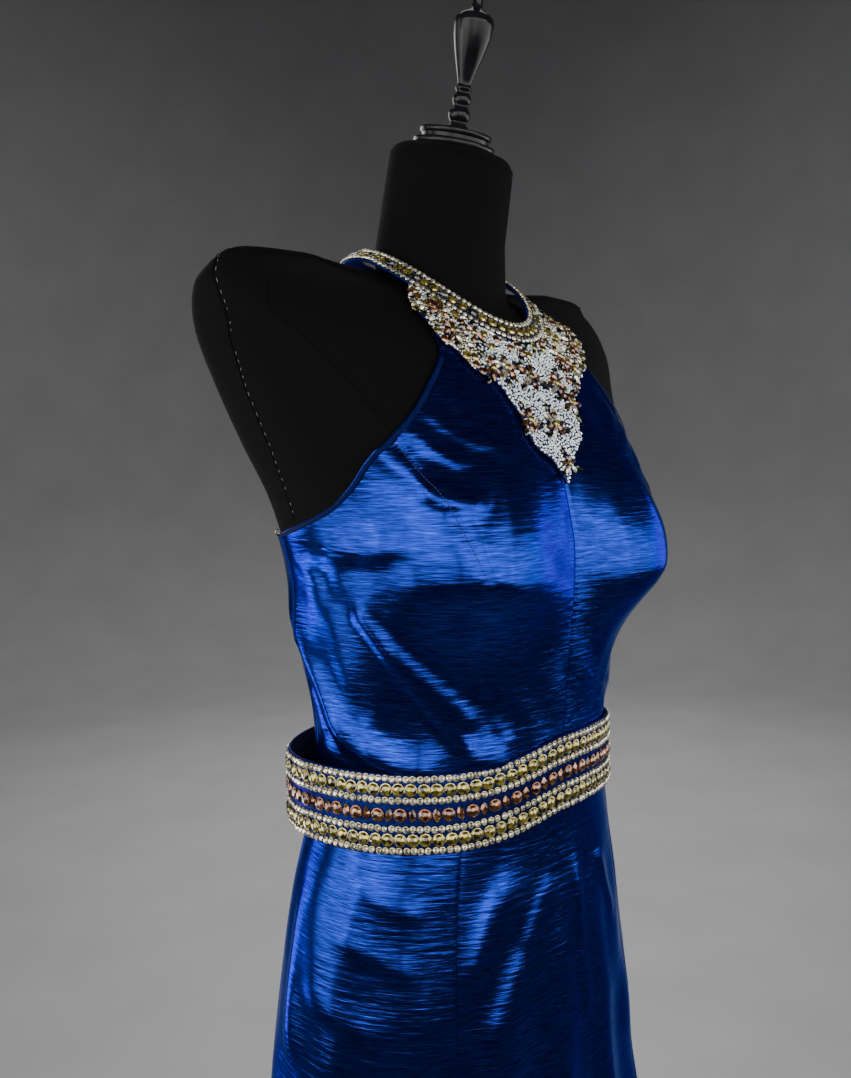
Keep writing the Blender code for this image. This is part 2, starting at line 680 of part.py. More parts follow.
def build_armhole_bind(side, name):
    """A narrow strip along the armhole edge, on the front's outside."""
    inner_edge, outer_edge = [], []
    for step in range(BIND_STEPS + 1):
        share = blend(BIND_START, BIND_END, step / BIND_STEPS)
        here, ahead = stop_at(ARMHOLE, share), stop_at(ARMHOLE, share + BIND_DIRECTION_STEP)
        run = ((ahead.azimuth - here.azimuth) * METRES_PER_DEGREE, ahead.rise - here.rise)
        length = hypot(*run)
        turn = -BIND_WIDTH * run[1] / length / METRES_PER_DEGREE
        drop = BIND_WIDTH * run[0] / length
        azimuth, rise = here.azimuth - BIND_INSET_DEGREES, here.rise - BIND_DROP
        inner_edge.append((azimuth, rise))
        outer_edge.append((azimuth + turn, rise + drop))
    sheets = []
    for out in (BIND_LIFT + BIND_THICKNESS, BIND_LIFT):
        sheets.append([[bodice_point(side * azimuth, rise, out) for azimuth, rise in edge]
                       for edge in (inner_edge, outer_edge)])
    wall(name, *sheets, "blue_bind")


# Skirt

def build_skirt_panel(name, first, last):
    """A panel between two seams, from the waist seam to the hem."""
    columns = ceil((last - first) / SKIRT_COLUMN_DEGREES)
    start = first + gap_degrees(SKIRT_SEAM_REACH)
    end = last - gap_degrees(SKIRT_SEAM_REACH)
    sheets = []
    for out in (0.0, -CLOTH):
        sheet = []
        for row in range(SKIRT_ROWS + 1):
            line = []
            for column in range(columns + 1):
                azimuth = blend(start, end, column / columns)
                rise = blend(seam_rise(azimuth) - GAP / 2, -SKIRT_DROP, row / SKIRT_ROWS)
                line.append(skirt_point(azimuth, rise, out))
            sheet.append(line)
        sheets.append(sheet)
    wall(name, *sheets, "blue_taffeta")


def build_skirt():
    front, side = FRONT_SEAM_AZIMUTH, SIDE_SEAM_AZIMUTH
    build_skirt_panel("skirt_front", -front, front)
    build_skirt_panel("skirt_side_right", -side, -front)
    build_skirt_panel("skirt_side_left", front, side)
    build_skirt_panel("skirt_back_right", -180, -side)
    build_skirt_panel("skirt_back_left", side, 180)


# Belt and collar

def belt_rise(azimuth):
    """The rise of the belt's middle line."""
    azimuth = (azimuth + 180) % 360 - 180
    width = BELT_LEFT_PEAK_WIDTH if azimuth > 0 else SEAM_PEAK_WIDTH
    return SEAM_SIDE_RISE + SEAM_PEAK * exp(-(azimuth / width) ** 2) + BELT_TILT * sin(radians(azimuth))


def belt_point(azimuth, share, out):
    """A point of the belt: share 0 is its top edge, and out is measured from its inner face."""
    middle_rise = belt_rise(azimuth)
    above, below = middle_rise + BELT_HEIGHT / 2, middle_rise - BELT_HEIGHT / 2
    top = bodice_point(azimuth, above)
    bottom = skirt_point(azimuth, below)
    from_front = abs((azimuth + 180) % 360 - 180)
    slack = blend(BELT_SLACK_TOP, BELT_SLACK_BOTTOM, share)
    slack *= exp(-((from_front - BELT_SLACK_AZIMUTH) / BELT_SLACK_WIDTH) ** 2)
    back = (BELT_BACK_EASE - BELT_EASE) * ease(-cos(radians(azimuth)) / BELT_BACK_FROM)
    away = Vector((sin(radians(azimuth)), -cos(radians(azimuth)), 0))
    return top.lerp(bottom, share) + away * (BELT_EASE + slack + back + out)


def stone_band(name, point_at, azimuths, rows, thickness, finish):
    """A band whose outside rises to a peak at every second azimuth, and whose inside is plain."""
    outer = []
    for row in rows:
        heights = (row.peak, row.valley)
        outer.append([point_at(azimuth, row.share, thickness + heights[step % 2])
                      for step, azimuth in enumerate(azimuths)])
    inner = [[point_at(azimuth, row.share, 0.0) for azimuth in azimuths] for row in rows]
    rows_count, columns = len(rows), len(azimuths)
    points = [point for line in outer for point in line] + inner[0] + inner[-1]
    top_inner = rows_count * columns
    bottom_inner = top_inner + columns
    faces = grid_faces(rows_count, columns, 0, 1, True)
    for column in range(columns):
        after = (column + 1) % columns
        last = (rows_count - 1) * columns
        faces.append([column, after, top_inner + after, top_inner + column])
        faces.append([last + column, last + after, bottom_inner + after, bottom_inner + column])
        faces.append([top_inner + column, top_inner + after, bottom_inner + after, bottom_inner + column])
    return add_solid(name, points, faces, finish, 80)


def build_belt():
    azimuths = even_azimuths(lambda azimuth: belt_point(azimuth, 0.5, 0.0), 2 * BELT_STONES)
    stone_band("belt", belt_point, azimuths, BELT_ROWS, BELT_THICKNESS, "belt_stones")


def collar_frame(turn):
    """The band's inner edge at this turn, its direction across and its outward normal."""
    angle = radians(turn)
    ahead = cos(angle)
    depth, end_slope = COLLAR_FRONT_DEPTH, COLLAR_FRONT_SLOPE
    if ahead < 0:
        depth, end_slope = COLLAR_BACK_DEPTH, COLLAR_BACK_SLOPE
    edge = Vector((COLLAR_HALF_WIDTH * sin(angle), COLLAR_Y - depth * ahead,
                   WAIST + COLLAR_RISE - COLLAR_DROP * ahead + COLLAR_ARCH * cos(2 * angle)))
    away = Vector((depth * sin(angle), -COLLAR_HALF_WIDTH * ahead, 0)).normalized()
    slope = radians(blend(COLLAR_SIDE_SLOPE, end_slope, abs(ahead)))
    down = Vector((0, 0, -1))
    return edge, away * cos(slope) + down * sin(slope), away * sin(slope) - down * cos(slope)


def collar_point(turn, share, out):
    """A point of the collar: share 0 is its inner edge, and out is measured from its under side."""
    edge, across, normal = collar_frame(turn)
    return edge + across * COLLAR_BAND * share + normal * (out - COLLAR_THICKNESS)


def build_collar():
    turns = [180 * step / COLLAR_STONES for step in range(2 * COLLAR_STONES)]
    stone_band("collar", collar_point, turns, COLLAR_ROWS, COLLAR_THICKNESS, "collar_stones")


# Yoke

def yoke_edge(turn):
    """Azimuth and rise of the yoke's lower edge, with its scallops."""
    size = abs(turn)
    low = max(row for row in range(len(YOKE_EDGE) - 1) if YOKE_EDGE[row].turn <= size)
    span = YOKE_EDGE[low + 1].turn - YOKE_EDGE[low].turn
    stop = stop_at(YOKE_EDGE, (low + (size - YOKE_EDGE[low].turn) / span) / (len(YOKE_EDGE) - 1))
    wave = YOKE_SCALLOP * sin(radians(turn * YOKE_SCALLOP_RATE)) * ease(size / YOKE_SCALLOP_FROM_TURN)
    side = -1 if turn < 0 else 1
    return side * stop.azimuth, stop.rise - wave


def flower_height(turn, share):
    drop = YOKE_FRONT_DROP * blend(1, YOKE_END_DROP_SHARE, ease(abs(turn) / YOKE_TURN))
    total = 0.0
    for flower in YOKE_FLOWERS:
        away = hypot((turn - flower.turn) * COLLAR_METRES_PER_DEGREE, (share - flower.share) * drop)
        total = max(total, FLOWER_HEIGHT * exp(-(away / flower.radius) ** 4))
    return total


def yoke_point(turn, share, out):
    """A point of the yoke: share 0 is at the collar, and out is measured from its under side."""
    edge, across, normal = collar_frame(turn)
    start = edge + across * (COLLAR_BAND + 2 * GAP) - normal * YOKE_THICKNESS
    start_rise = start.z - WAIST
    middle, _ = form_middle_and_reach(0, start_rise, CLOTH_BUST)
    start_azimuth = degrees(atan2(start.x, middle - start.y))
    end_azimuth, end_rise = yoke_edge(turn)
    azimuth = blend(start_azimuth, end_azimuth, share)
    rise = blend(start_rise, end_rise, share)
    lift = (start - bodice_point(start_azimuth, start_rise, YOKE_LIFT)) * (1 - share) ** 2
    away = Vector((sin(radians(azimuth)), -cos(radians(azimuth)), 0))
    direction = normal.lerp(away, ease(share * 2)).normalized()
    return bodice_point(azimuth, rise, YOKE_LIFT) + lift + direction * out


def build_yoke():
    turns = [blend(-YOKE_TURN, YOKE_TURN, step / YOKE_COLUMNS) for step in range(YOKE_COLUMNS + 1)]
    shares = [row / YOKE_ROWS for row in range(YOKE_ROWS + 1)]
    outer = [[yoke_point(turn, share, YOKE_THICKNESS + flower_height(turn, share)) for turn in turns]
             for share in shares]
    inner = [[yoke_point(turn, share, 0.0) for turn in turns] for share in shares]
    wall("yoke", outer, inner, "beaded_yoke", sharp_angle=80)


# Centre-back zip

def zip_point(rise, shift, out):
    """A point of the zip's strip, shift metres to the side of the centre back."""
    point_at = bodice_point if rise > seam_rise(180) else skirt_point
    reach = abs(point_at(180, rise).y)
    return point_at(180 + degrees(shift / reach), rise, out)


def zip_rises():
    """The rises of the backs' rows and then of the skirt's rows, so that the strip lies flat on both."""
    rises = [back_place(1.0, row / SEAM_ROWS)[1] for row in range(SEAM_ROWS, -1, -1)]
    return rises + [blend(seam_rise(180), -SKIRT_DROP, row / SKIRT_ROWS)
                    for row in range(1, ZIP_SKIRT_ROWS + 1)]


def build_zip():
    rises = zip_rises()
    sheets = []
    for out in (GAP + ZIP_THICKNESS, GAP):
        sheet = []
        for row, rise in enumerate(rises):
            lift = SLIDER_HEIGHT if out > GAP and row == 0 else 0.0
            sheet.append([zip_point(rise, shift, out + lift)
                          for shift in (-ZIP_WIDTH / 2, 0.0, ZIP_WIDTH / 2)])
        sheets.append(sheet)
    wall("zip_back", *sheets, "blue_bind")


def main():
    clear_scene()
    build_form()
    build_neck_cap()
    build_finial()
    build_form_plate()
    build_pole()
    build_base()
    build_front(-1, "front_right")
    build_front(1, "front_left")
    build_back(-1, "back_right")
    build_back(1, "back_left")
    build_armhole_bind(-1, "armhole_bind_right")
    build_armhole_bind(1, "armhole_bind_left")
    build_skirt()
    build_belt()
    build_collar()
    build_yoke()
    build_zip()


main()
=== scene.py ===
from collections import namedtuple
from math import cos, degrees, pi, radians, sin, tan

import bpy
import numpy as np
from mathutils import Matrix, Vector


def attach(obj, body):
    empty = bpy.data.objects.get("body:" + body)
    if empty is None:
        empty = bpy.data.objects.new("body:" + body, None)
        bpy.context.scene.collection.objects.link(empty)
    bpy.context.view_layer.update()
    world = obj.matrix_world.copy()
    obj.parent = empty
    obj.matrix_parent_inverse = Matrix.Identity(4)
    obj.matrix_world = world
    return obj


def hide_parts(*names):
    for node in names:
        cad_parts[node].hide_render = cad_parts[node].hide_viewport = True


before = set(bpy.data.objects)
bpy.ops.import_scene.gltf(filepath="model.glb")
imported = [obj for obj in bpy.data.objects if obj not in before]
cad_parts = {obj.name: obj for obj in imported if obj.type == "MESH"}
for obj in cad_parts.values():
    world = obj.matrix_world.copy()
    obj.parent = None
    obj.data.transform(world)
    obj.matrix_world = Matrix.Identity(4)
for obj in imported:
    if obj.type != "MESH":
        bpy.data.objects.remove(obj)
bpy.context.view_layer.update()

# The sizes of the body and the cloth are those of the part's source. They stand here again because this
# script reads nothing but the frame. Only SEAM_SHOWN, the gap that shows between two panels, is its own.
WAIST = 1.050
SKIRT_DROP = 0.460
GAP = 0.0003
SEAM_SHOWN = 0.00008
CLOTH = 0.0012
CLOTH_REST = 0.0016
METRES_PER_DEGREE = 0.0022

# Columns: rise, half width, front, back, middle, squareness
FORM_SECTIONS = np.array((
    (-0.330, 0.1400, 0.0940, 0.1120, 0.010, 2.10),
    (-0.240, 0.1470, 0.1000, 0.1190, 0.011, 2.10),
    (-0.160, 0.1455, 0.1020, 0.1185, 0.012, 2.10),
    (-0.080, 0.1340, 0.0980, 0.1100, 0.010, 2.10),
    (-0.030, 0.1225, 0.0960, 0.1000, 0.005, 2.10),
    (0.000, 0.1150, 0.0975, 0.0950, 0.004, 2.10),
    (0.050, 0.1145, 0.0985, 0.0970, 0.004, 2.15),
    (0.100, 0.1225, 0.1035, 0.1020, 0.006, 2.20),
    (0.165, 0.1315, 0.1070, 0.1050, 0.010, 2.25),
    (0.210, 0.1435, 0.1015, 0.1080, 0.018, 2.25),
    (0.250, 0.1612, 0.0885, 0.1090, 0.026, 2.40),
    (0.290, 0.1785, 0.0735, 0.1110, 0.033, 2.40),
    (0.325, 0.1940, 0.0540, 0.1060, 0.034, 2.35),
    (0.3480, 0.1970, 0.0255, 0.0960, 0.0310, 2.30),
    (0.3590, 0.1900, 0.0050, 0.0850, 0.0260, 2.20),
    (0.3640, 0.1850, -0.0045, 0.0745, 0.0215, 2.10),
    (0.3674, 0.1775, -0.0092, 0.0650, 0.0185, 2.00),
    (0.3690, 0.1650, -0.0095, 0.0560, 0.0165, 2.00),
    (0.3700, 0.1350, -0.0110, 0.0470, 0.0150, 2.00),
    (0.3710, 0.0700, -0.0120, 0.0380, 0.0140, 2.00),
    (0.3850, 0.0200, 0.0070, 0.0330, 0.0130, 2.00),
    (0.4570, 0.0200, 0.0214, 0.0186, -0.0014, 2.00),
))
SKIRT_SECTIONS = np.array((
    (-0.460, 0.1800, 0.1290, 0.1500, 0.012, 2.05),
    (-0.400, 0.1725, 0.1220, 0.1430, 0.012, 2.05),
    (-0.320, 0.1630, 0.1130, 0.1345, 0.012, 2.08),
    (-0.240, 0.1545, 0.1060, 0.1265, 0.012, 2.10),
    (-0.160, 0.1490, 0.1045, 0.1220, 0.012, 2.10),
    (-0.080, 0.1370, 0.1005, 0.1125, 0.010, 2.10),
    (-0.030, 0.1253, 0.0985, 0.1025, 0.005, 2.10),
    (0.000, 0.1178, 0.1001, 0.0975, 0.004, 2.10),
    (0.050, 0.1170, 0.1012, 0.0995, 0.004, 2.15),
))
Bust = namedtuple("Bust", "swell azimuth width rise above below")
FORM_BUST = Bust(0.0335, 36.5, 23.0, 0.158, 0.0800, 0.0395)
CLOTH_BUST = Bust(0.0364, 36.5, 23.0, 0.158, 0.0815, 0.0401)
SHOULDER_LIFT, SHOULDER_LIFT_FROM, SHOULDER_LIFT_TO = 0.0053, 0.088, 0.128
LIFT_FROM_RISE, LIFT_TO_RISE = 0.330, 0.362
NECK_BASE_RISE, NECK_BASE_Y, NECK_BASE_RADIUS = 0.395, 0.0130, 0.0495
NECK_TOP_RISE, NECK_TOP_Y, NECK_TOP_RADIUS = 0.457, -0.0014, 0.0457
NECK_TILT, LEAN_FROM_RISE, NECK_BLEND = 16.0, 0.388, 9
CAP_SEAT = 0.0095

SIDE_SEAM = np.array(((112.0, 0.000), (109.5, 0.050), (107.0, 0.100), (105.0, 0.145), (103.0, 0.185)))
ARMHOLE = np.array(((103.0, 0.185), (95.0, 0.189), (84.0, 0.196), (74.0, 0.205), (66.8, 0.217), (61.0, 0.232),
                    (54.8, 0.246), (48.8, 0.262), (43.2, 0.283), (39.0, 0.303), (40.5, 0.320)))
SEAM_SHARE, NECKLINE_RISE, BACK_TOP_RISE = 0.42, 0.304, 0.160
SEAM_SIDE_RISE, SEAM_PEAK, SEAM_PEAK_WIDTH = 0.002, 0.0125, 27.0

# Columns: from azimuth, from rise, to azimuth, to rise, width, height
BODICE_FOLDS = (
    (-72, 0.130, -42, 0.062, 0.007, 0.0026),
    (-60, 0.246, -44, 0.205, 0.006, 0.0022),
    (-104, 0.070, -99, 0.048, 0.006, 0.0024),
    (70, 0.120, 45, 0.064, 0.008, 0.0021),
    (58, 0.240, 42, 0.212, 0.007, 0.0018),
    (101, 0.080, 97, 0.050, 0.006, 0.0020),
    (-150, 0.070, -128, 0.050, 0.008, 0.0018),
    (146, 0.078, 127, 0.054, 0.008, 0.0020),
)
# Columns: azimuth, drift, start, width, height
SKIRT_FLUTES = (
    (-164, -6, -0.120, 10.0, 0.019), (-138, -4, -0.090, 9.0, 0.015), (-112, -3, -0.130, 9.5, 0.021),
    (-84, 2, -0.150, 9.0, 0.014), (-58, -4, -0.110, 9.5, 0.019), (-27, -9, -0.050, 8.0, 0.017),
    (-4, -3, -0.060, 7.0, 0.015), (18, 2, -0.055, 7.5, 0.018), (42, 6, -0.100, 9.0, 0.016),
    (70, 3, -0.140, 10.0, 0.020), (98, 2, -0.120, 9.0, 0.015), (124, 4, -0.100, 9.5, 0.020),
    (149, 5, -0.090, 9.0, 0.016), (174, 3, -0.140, 9.0, 0.018),
)

BELT_HEIGHT = 0.0530
BELT_EASE, BELT_BACK_EASE = 0.0008, 0.0032
BELT_TILT, BELT_LEFT_PEAK_WIDTH = 0.0040, 60.0
BELT_SLACK_TOP, BELT_SLACK_BOTTOM, BELT_SLACK_AZIMUTH, BELT_SLACK_WIDTH = 0.0155, 0.0090, 118.0, 34.0

COLLAR_HALF_WIDTH, COLLAR_FRONT_DEPTH, COLLAR_BACK_DEPTH = 0.0555, 0.0730, 0.0690
COLLAR_Y, COLLAR_RISE, COLLAR_DROP, COLLAR_ARCH = 0.0133, 0.3722, 0.0310, -0.0113
COLLAR_BAND, COLLAR_THICKNESS = 0.0170, 0.0024
COLLAR_FRONT_SLOPE, COLLAR_SIDE_SLOPE, COLLAR_BACK_SLOPE = 58.0, 18.5, 38.0

# Columns: turn, azimuth, rise
YOKE_EDGE = np.array((
    (0, 0.0, 0.2145), (6, 5.0, 0.2310), (12, 12.0, 0.2440), (18, 14.0, 0.2600), (26, 18.0, 0.2780),
    (34, 25.0, 0.2900), (42, 32.0, 0.3010), (50, 37.5, 0.3130), (58, 43.5, 0.3270), (66, 49.5, 0.3450),
))
YOKE_TURN, YOKE_THICKNESS, YOKE_LIFT = 66.0, 0.0016, 0.0014
YOKE_SCALLOP, SCALLOPS_PER_TURN, SCALLOP_FADE = 0.0018, 27, 12


# Body surfaces, all working on arrays of azimuths and rises

def blend(start, end, share):
    return start + (end - start) * share


def ease(share):
    share = np.clip(share, 0.0, 1.0)
    return share * share * (3 - 2 * share)


def turned(azimuth):
    return (azimuth + 180) % 360 - 180


def outward_from(azimuth):
    """The level direction that faces out at this azimuth."""
    turn = np.radians(azimuth)
    return np.stack([np.sin(turn), -np.cos(turn), np.zeros_like(azimuth)], axis=-1)


def section_at(sections, rise):
    """Half width, front, back, middle and squareness at these rises."""
    rise = np.clip(np.asarray(rise, float), sections[0, 0], sections[-1, 0])
    low = np.clip(np.searchsorted(sections[:, 0], rise, side="right") - 1, 0, len(sections) - 2)
    before, start = sections[np.maximum(low - 1, 0)], sections[low]
    end, after = sections[low + 1], sections[np.minimum(low + 2, len(sections) - 1)]
    span = (end[..., 0] - start[..., 0])[..., None]
    part = ((rise - start[..., 0]) / span[..., 0])[..., None]
    into = span * (end - before) / (end[..., :1] - before[..., :1])
    out_of = span * (after - start) / (after[..., :1] - start[..., :1])
    values = (start * (2 * part**3 - 3 * part**2 + 1) + end * (3 * part**2 - 2 * part**3)
              + into * (part**3 - 2 * part**2 + part) + out_of * (part**3 - part**2))
    return [values[..., column] for column in range(1, 6)]


def oval_reach(section, azimuth):
    half, front, back, middle, power = section
    across, along = np.sin(np.radians(azimuth)), np.cos(np.radians(azimuth))
    depth = np.where(along > 0, middle + front, back - middle)
    return ((np.abs(across) / half) ** power + (np.abs(along) / depth) ** power) ** (-1 / power)


def bust_reach(bust, azimuth, rise):
    height = np.where(rise > bust.rise, bust.above, bust.below)
    round_it = (np.abs(azimuth) - bust.azimuth) / bust.width
    return bust.swell * np.exp(-round_it**2 - ((rise - bust.rise) / height) ** 2)


LEAST_REACH = 0.0001


def neck_reach(azimuth, rise, middle):
    share = np.maximum((rise - NECK_BASE_RISE) / (NECK_TOP_RISE - NECK_BASE_RISE), 0.0)
    offset = middle - blend(NECK_BASE_Y, NECK_TOP_Y, share)
    radius = blend(NECK_BASE_RADIUS, NECK_TOP_RADIUS, share)
    along = offset * np.cos(np.radians(azimuth))
    inside = along * along - offset * offset + radius * radius
    return np.maximum(along + np.sqrt(np.maximum(inside, 0.0)), LEAST_REACH)


def form_middle_and_reach(azimuth, rise, bust):
    section = section_at(FORM_SECTIONS, rise)
    body = oval_reach(section, azimuth) + bust_reach(bust, turned(azimuth), rise)
    neck = neck_reach(azimuth, rise, section[3])
    return section[3], (body**NECK_BLEND + neck**NECK_BLEND) ** (1 / NECK_BLEND)


def polar_point(azimuth, rise, middle, reach):
    turn = np.radians(azimuth)
    point = np.broadcast_arrays(reach * np.sin(turn), middle - reach * np.cos(turn), WAIST + rise)
    return np.stack(point, axis=-1)


def form_point(azimuth, rise, out=0.0):
    middle, reach = form_middle_and_reach(azimuth, rise, FORM_BUST)
    point = polar_point(azimuth, rise, middle, reach + out)
    lean = tan(radians(NECK_TILT)) * ease((rise - LEAN_FROM_RISE) / (NECK_TOP_RISE - LEAN_FROM_RISE))
    outward = ease((np.abs(point[..., 0]) - SHOULDER_LIFT_FROM) / (SHOULDER_LIFT_TO - SHOULDER_LIFT_FROM))
    lift = SHOULDER_LIFT * outward * ease((rise - LIFT_FROM_RISE) / (LIFT_TO_RISE - LIFT_FROM_RISE))
    point[..., 2] += lean * (point[..., 1] - middle) + lift
    return point


def away_from_line(azimuth, rise, line):
    """How far from a straight line on the cloth, in metres, and the share along it."""
    start_x, start_z = line[0] * METRES_PER_DEGREE, line[1]
    run_x, run_z = line[2] * METRES_PER_DEGREE - start_x, line[3] - start_z
    from_x, from_z = azimuth * METRES_PER_DEGREE - start_x, rise - start_z
    along = (from_x * run_x + from_z * run_z) / (run_x**2 + run_z**2)
    clamped = np.clip(along, 0.0, 1.0)
    return np.hypot(from_x - clamped * run_x, from_z - clamped * run_z), clamped


def fold_reach(azimuth, rise):
    total = 0.0
    for fold in BODICE_FOLDS:
        away, _ = away_from_line(azimuth, rise, fold)
        total = total + fold[5] * np.exp(-(away / fold[4]) ** 2)
    return total


def bodice_point(azimuth, rise, out=0.0):
    middle, reach = form_middle_and_reach(azimuth, rise, CLOTH_BUST)
    reach = reach + CLOTH_REST + CLOTH + fold_reach(turned(azimuth), rise) + out
    return polar_point(azimuth, rise, middle, reach)


def flute_reach(azimuth, rise):
    total = 0.0
    for centre, drift, start, width, height in SKIRT_FLUTES:
        grown = np.maximum((start - rise) / (start + SKIRT_DROP), 0.0)
        away = turned(azimuth - centre - drift * grown)
        total = total + height * grown**1.2 * np.exp(-(away / width) ** 2)
    return total


def skirt_point(azimuth, rise, out=0.0):
    section = section_at(SKIRT_SECTIONS, rise)
    reach = oval_reach(section, azimuth) + flute_reach(azimuth, rise) + out
    return polar_point(azimuth, rise, section[3], reach)


def seam_rise(azimuth):
    return SEAM_SIDE_RISE + SEAM_PEAK * np.exp(-(turned(azimuth) / SEAM_PEAK_WIDTH) ** 2)


def on_stops(stops, share):
    """Rows between the stops, taken as evenly spaced, on a smooth curve through them."""
    place = np.clip(np.asarray(share, float), 0.0, 1.0) * (len(stops) - 1)
    low = np.minimum(place.astype(int), len(stops) - 2)
    before, start = stops[np.maximum(low - 1, 0)], stops[low]
    end, after = stops[low + 1], stops[np.minimum(low + 2, len(stops) - 1)]
    part = (place - low)[..., None]
    return (start * (2 * part**3 - 3 * part**2 + 1) + (end - before) / 2 * (part**3 - 2 * part**2 + part)
            + end * (3 * part**2 - 2 * part**3) + (after - start) / 2 * (part**3 - part**2))


def belt_rise(azimuth):
    azimuth = turned(azimuth)
    width = np.where(azimuth > 0, BELT_LEFT_PEAK_WIDTH, SEAM_PEAK_WIDTH)
    peak = SEAM_PEAK * np.exp(-(azimuth / width) ** 2)
    return SEAM_SIDE_RISE + peak + BELT_TILT * np.sin(np.radians(azimuth))


def belt_point(azimuth, share, out):
    middle_rise = belt_rise(azimuth)
    top = bodice_point(azimuth, middle_rise + BELT_HEIGHT / 2)
    bottom = skirt_point(azimuth, middle_rise - BELT_HEIGHT / 2)
    slack = blend(BELT_SLACK_TOP, BELT_SLACK_BOTTOM, np.asarray(share, float))
    slack = slack * np.exp(-((np.abs(turned(azimuth)) - BELT_SLACK_AZIMUTH) / BELT_SLACK_WIDTH) ** 2)
    back = (BELT_BACK_EASE - BELT_EASE) * ease(-np.cos(np.radians(azimuth)) * 2)
    away = outward_from(azimuth)
    share, out = np.asarray(share, float)[..., None], np.asarray(out, float)[..., None]
    return top + (bottom - top) * share + away * (BELT_EASE + (slack + back)[..., None] + out)


def unit(vectors):
    return vectors / np.linalg.norm(vectors, axis=-1, keepdims=True)


def collar_frame(turn):
    angle = np.radians(turn)
    ahead = np.cos(angle)
    depth = np.where(ahead < 0, COLLAR_BACK_DEPTH, COLLAR_FRONT_DEPTH)
    end_slope = np.where(ahead < 0, COLLAR_BACK_SLOPE, COLLAR_FRONT_SLOPE)
    edge = np.stack([COLLAR_HALF_WIDTH * np.sin(angle), COLLAR_Y - depth * ahead,
                     WAIST + COLLAR_RISE - COLLAR_DROP * ahead + COLLAR_ARCH * np.cos(2 * angle)], axis=-1)
    away = unit(np.stack([depth * np.sin(angle), -COLLAR_HALF_WIDTH * ahead, np.zeros_like(angle)], axis=-1))
    slope = np.radians(blend(COLLAR_SIDE_SLOPE, end_slope, np.abs(ahead)))[..., None]
    down = np.array((0.0, 0.0, -1.0))
    return edge, away * np.cos(slope) + down * np.sin(slope), away * np.sin(slope) - down * np.cos(slope)


def collar_point(turn, share, out):
    edge, across, normal = collar_frame(turn)
    share, out = np.asarray(share, float)[..., None], np.asarray(out, float)[..., None]
    return edge + across * COLLAR_BAND * share + normal * (out - COLLAR_THICKNESS)


def yoke_edge(turn):
    size = np.abs(turn)
    low = np.clip(np.searchsorted(YOKE_EDGE[:, 0], size, side="right") - 1, 0, len(YOKE_EDGE) - 2)
    span = YOKE_EDGE[low + 1, 0] - YOKE_EDGE[low, 0]
    stop = on_stops(YOKE_EDGE, (low + (size - YOKE_EDGE[low, 0]) / span) / (len(YOKE_EDGE) - 1))
    wave = YOKE_SCALLOP * np.sin(np.radians(turn * SCALLOPS_PER_TURN)) * ease(size / SCALLOP_FADE)
    return np.where(turn < 0, -1, 1) * stop[..., 1], stop[..., 2] - wave


def yoke_point(turn, share, out):
    """A point of the yoke: share 0 is at the collar, and out is measured from its under side."""
    turn, share, out = np.broadcast_arrays(*(np.asarray(value, float) for value in (turn, share, out)))
    edge, across, normal = collar_frame(turn)
    start = edge + across * (COLLAR_BAND + 2 * GAP) - normal * YOKE_THICKNESS
    start_rise = start[..., 2] - WAIST
    middle, _ = form_middle_and_reach(np.zeros_like(turn), start_rise, CLOTH_BUST)
    start_azimuth = np.degrees(np.arctan2(start[..., 0], middle - start[..., 1]))
    end_azimuth, end_rise = yoke_edge(turn)
    azimuth, rise = blend(start_azimuth, end_azimuth, share), blend(start_rise, end_rise, share)
    lift = (start - bodice_point(start_azimuth, start_rise, YOKE_LIFT)) * ((1 - share) ** 2)[..., None]
    direction = unit(normal + (outward_from(azimuth) - normal) * ease(share * 2)[..., None])
    return bodice_point(azimuth, rise, YOKE_LIFT) + lift + direction * out[..., None]


# Materials

# What the blue cloth turns to at grazing angles
EDGE_TINT = (0.30, 0.42, 1.00, 1.0)


def new_material(name):
    made = bpy.data.materials.new(name)
    made.use_nodes = True
    tree = made.node_tree
    return made, tree, tree.nodes["Principled BSDF"]


def add_node(tree, kind, **settings):
    node = tree.nodes.new(kind)
    for name, value in settings.items():
        setattr(node, name, value)
    return node


def set_inputs(node, **values):
    """Sets inputs by name, with an underscore for each space."""
    for name, value in values.items():
        node.inputs[name.replace("_", " ")].default_value = value


def object_place(tree):
    return add_node(tree, "ShaderNodeTexCoord").outputs["Object"]


def weave_place(tree):
    """The flat place on the cloth, in metres, kept with the mesh."""
    return add_node(tree, "ShaderNodeAttribute", attribute_name="weave").outputs["Vector"]


def stretched_noise(tree, source, scale, detail=3.0, roughness=0.55):
    """A noise whose grain is one unit long at this scale along each axis."""
    mapping = add_node(tree, "ShaderNodeMapping")
    set_inputs(mapping, Scale=scale)
    tree.links.new(source, mapping.inputs["Vector"])
    noise = add_node(tree, "ShaderNodeTexNoise")
    set_inputs(noise, Scale=1.0, Detail=detail, Roughness=roughness)
    tree.links.new(mapping.outputs["Vector"], noise.inputs["Vector"])
    return noise.outputs["Fac"]


def ramp(tree, source, *stops):
    """A colour ramp through (place, colour) stops."""
    node = add_node(tree, "ShaderNodeValToRGB")
    elements = node.color_ramp.elements
    while len(elements) < len(stops):
        elements.new(0.5)
    for element, (place, colour) in zip(elements, stops):
        element.position = place
        element.color = (*colour, 1.0)
    tree.links.new(source, node.inputs["Fac"])
    return node.outputs["Color"]


def map_range(tree, source, low, high, to_low, to_high):
    node = add_node(tree, "ShaderNodeMapRange")
    set_inputs(node, From_Min=low, From_Max=high, To_Min=to_low, To_Max=to_high)
    tree.links.new(source, node.inputs["Value"])
    return node.outputs["Result"]


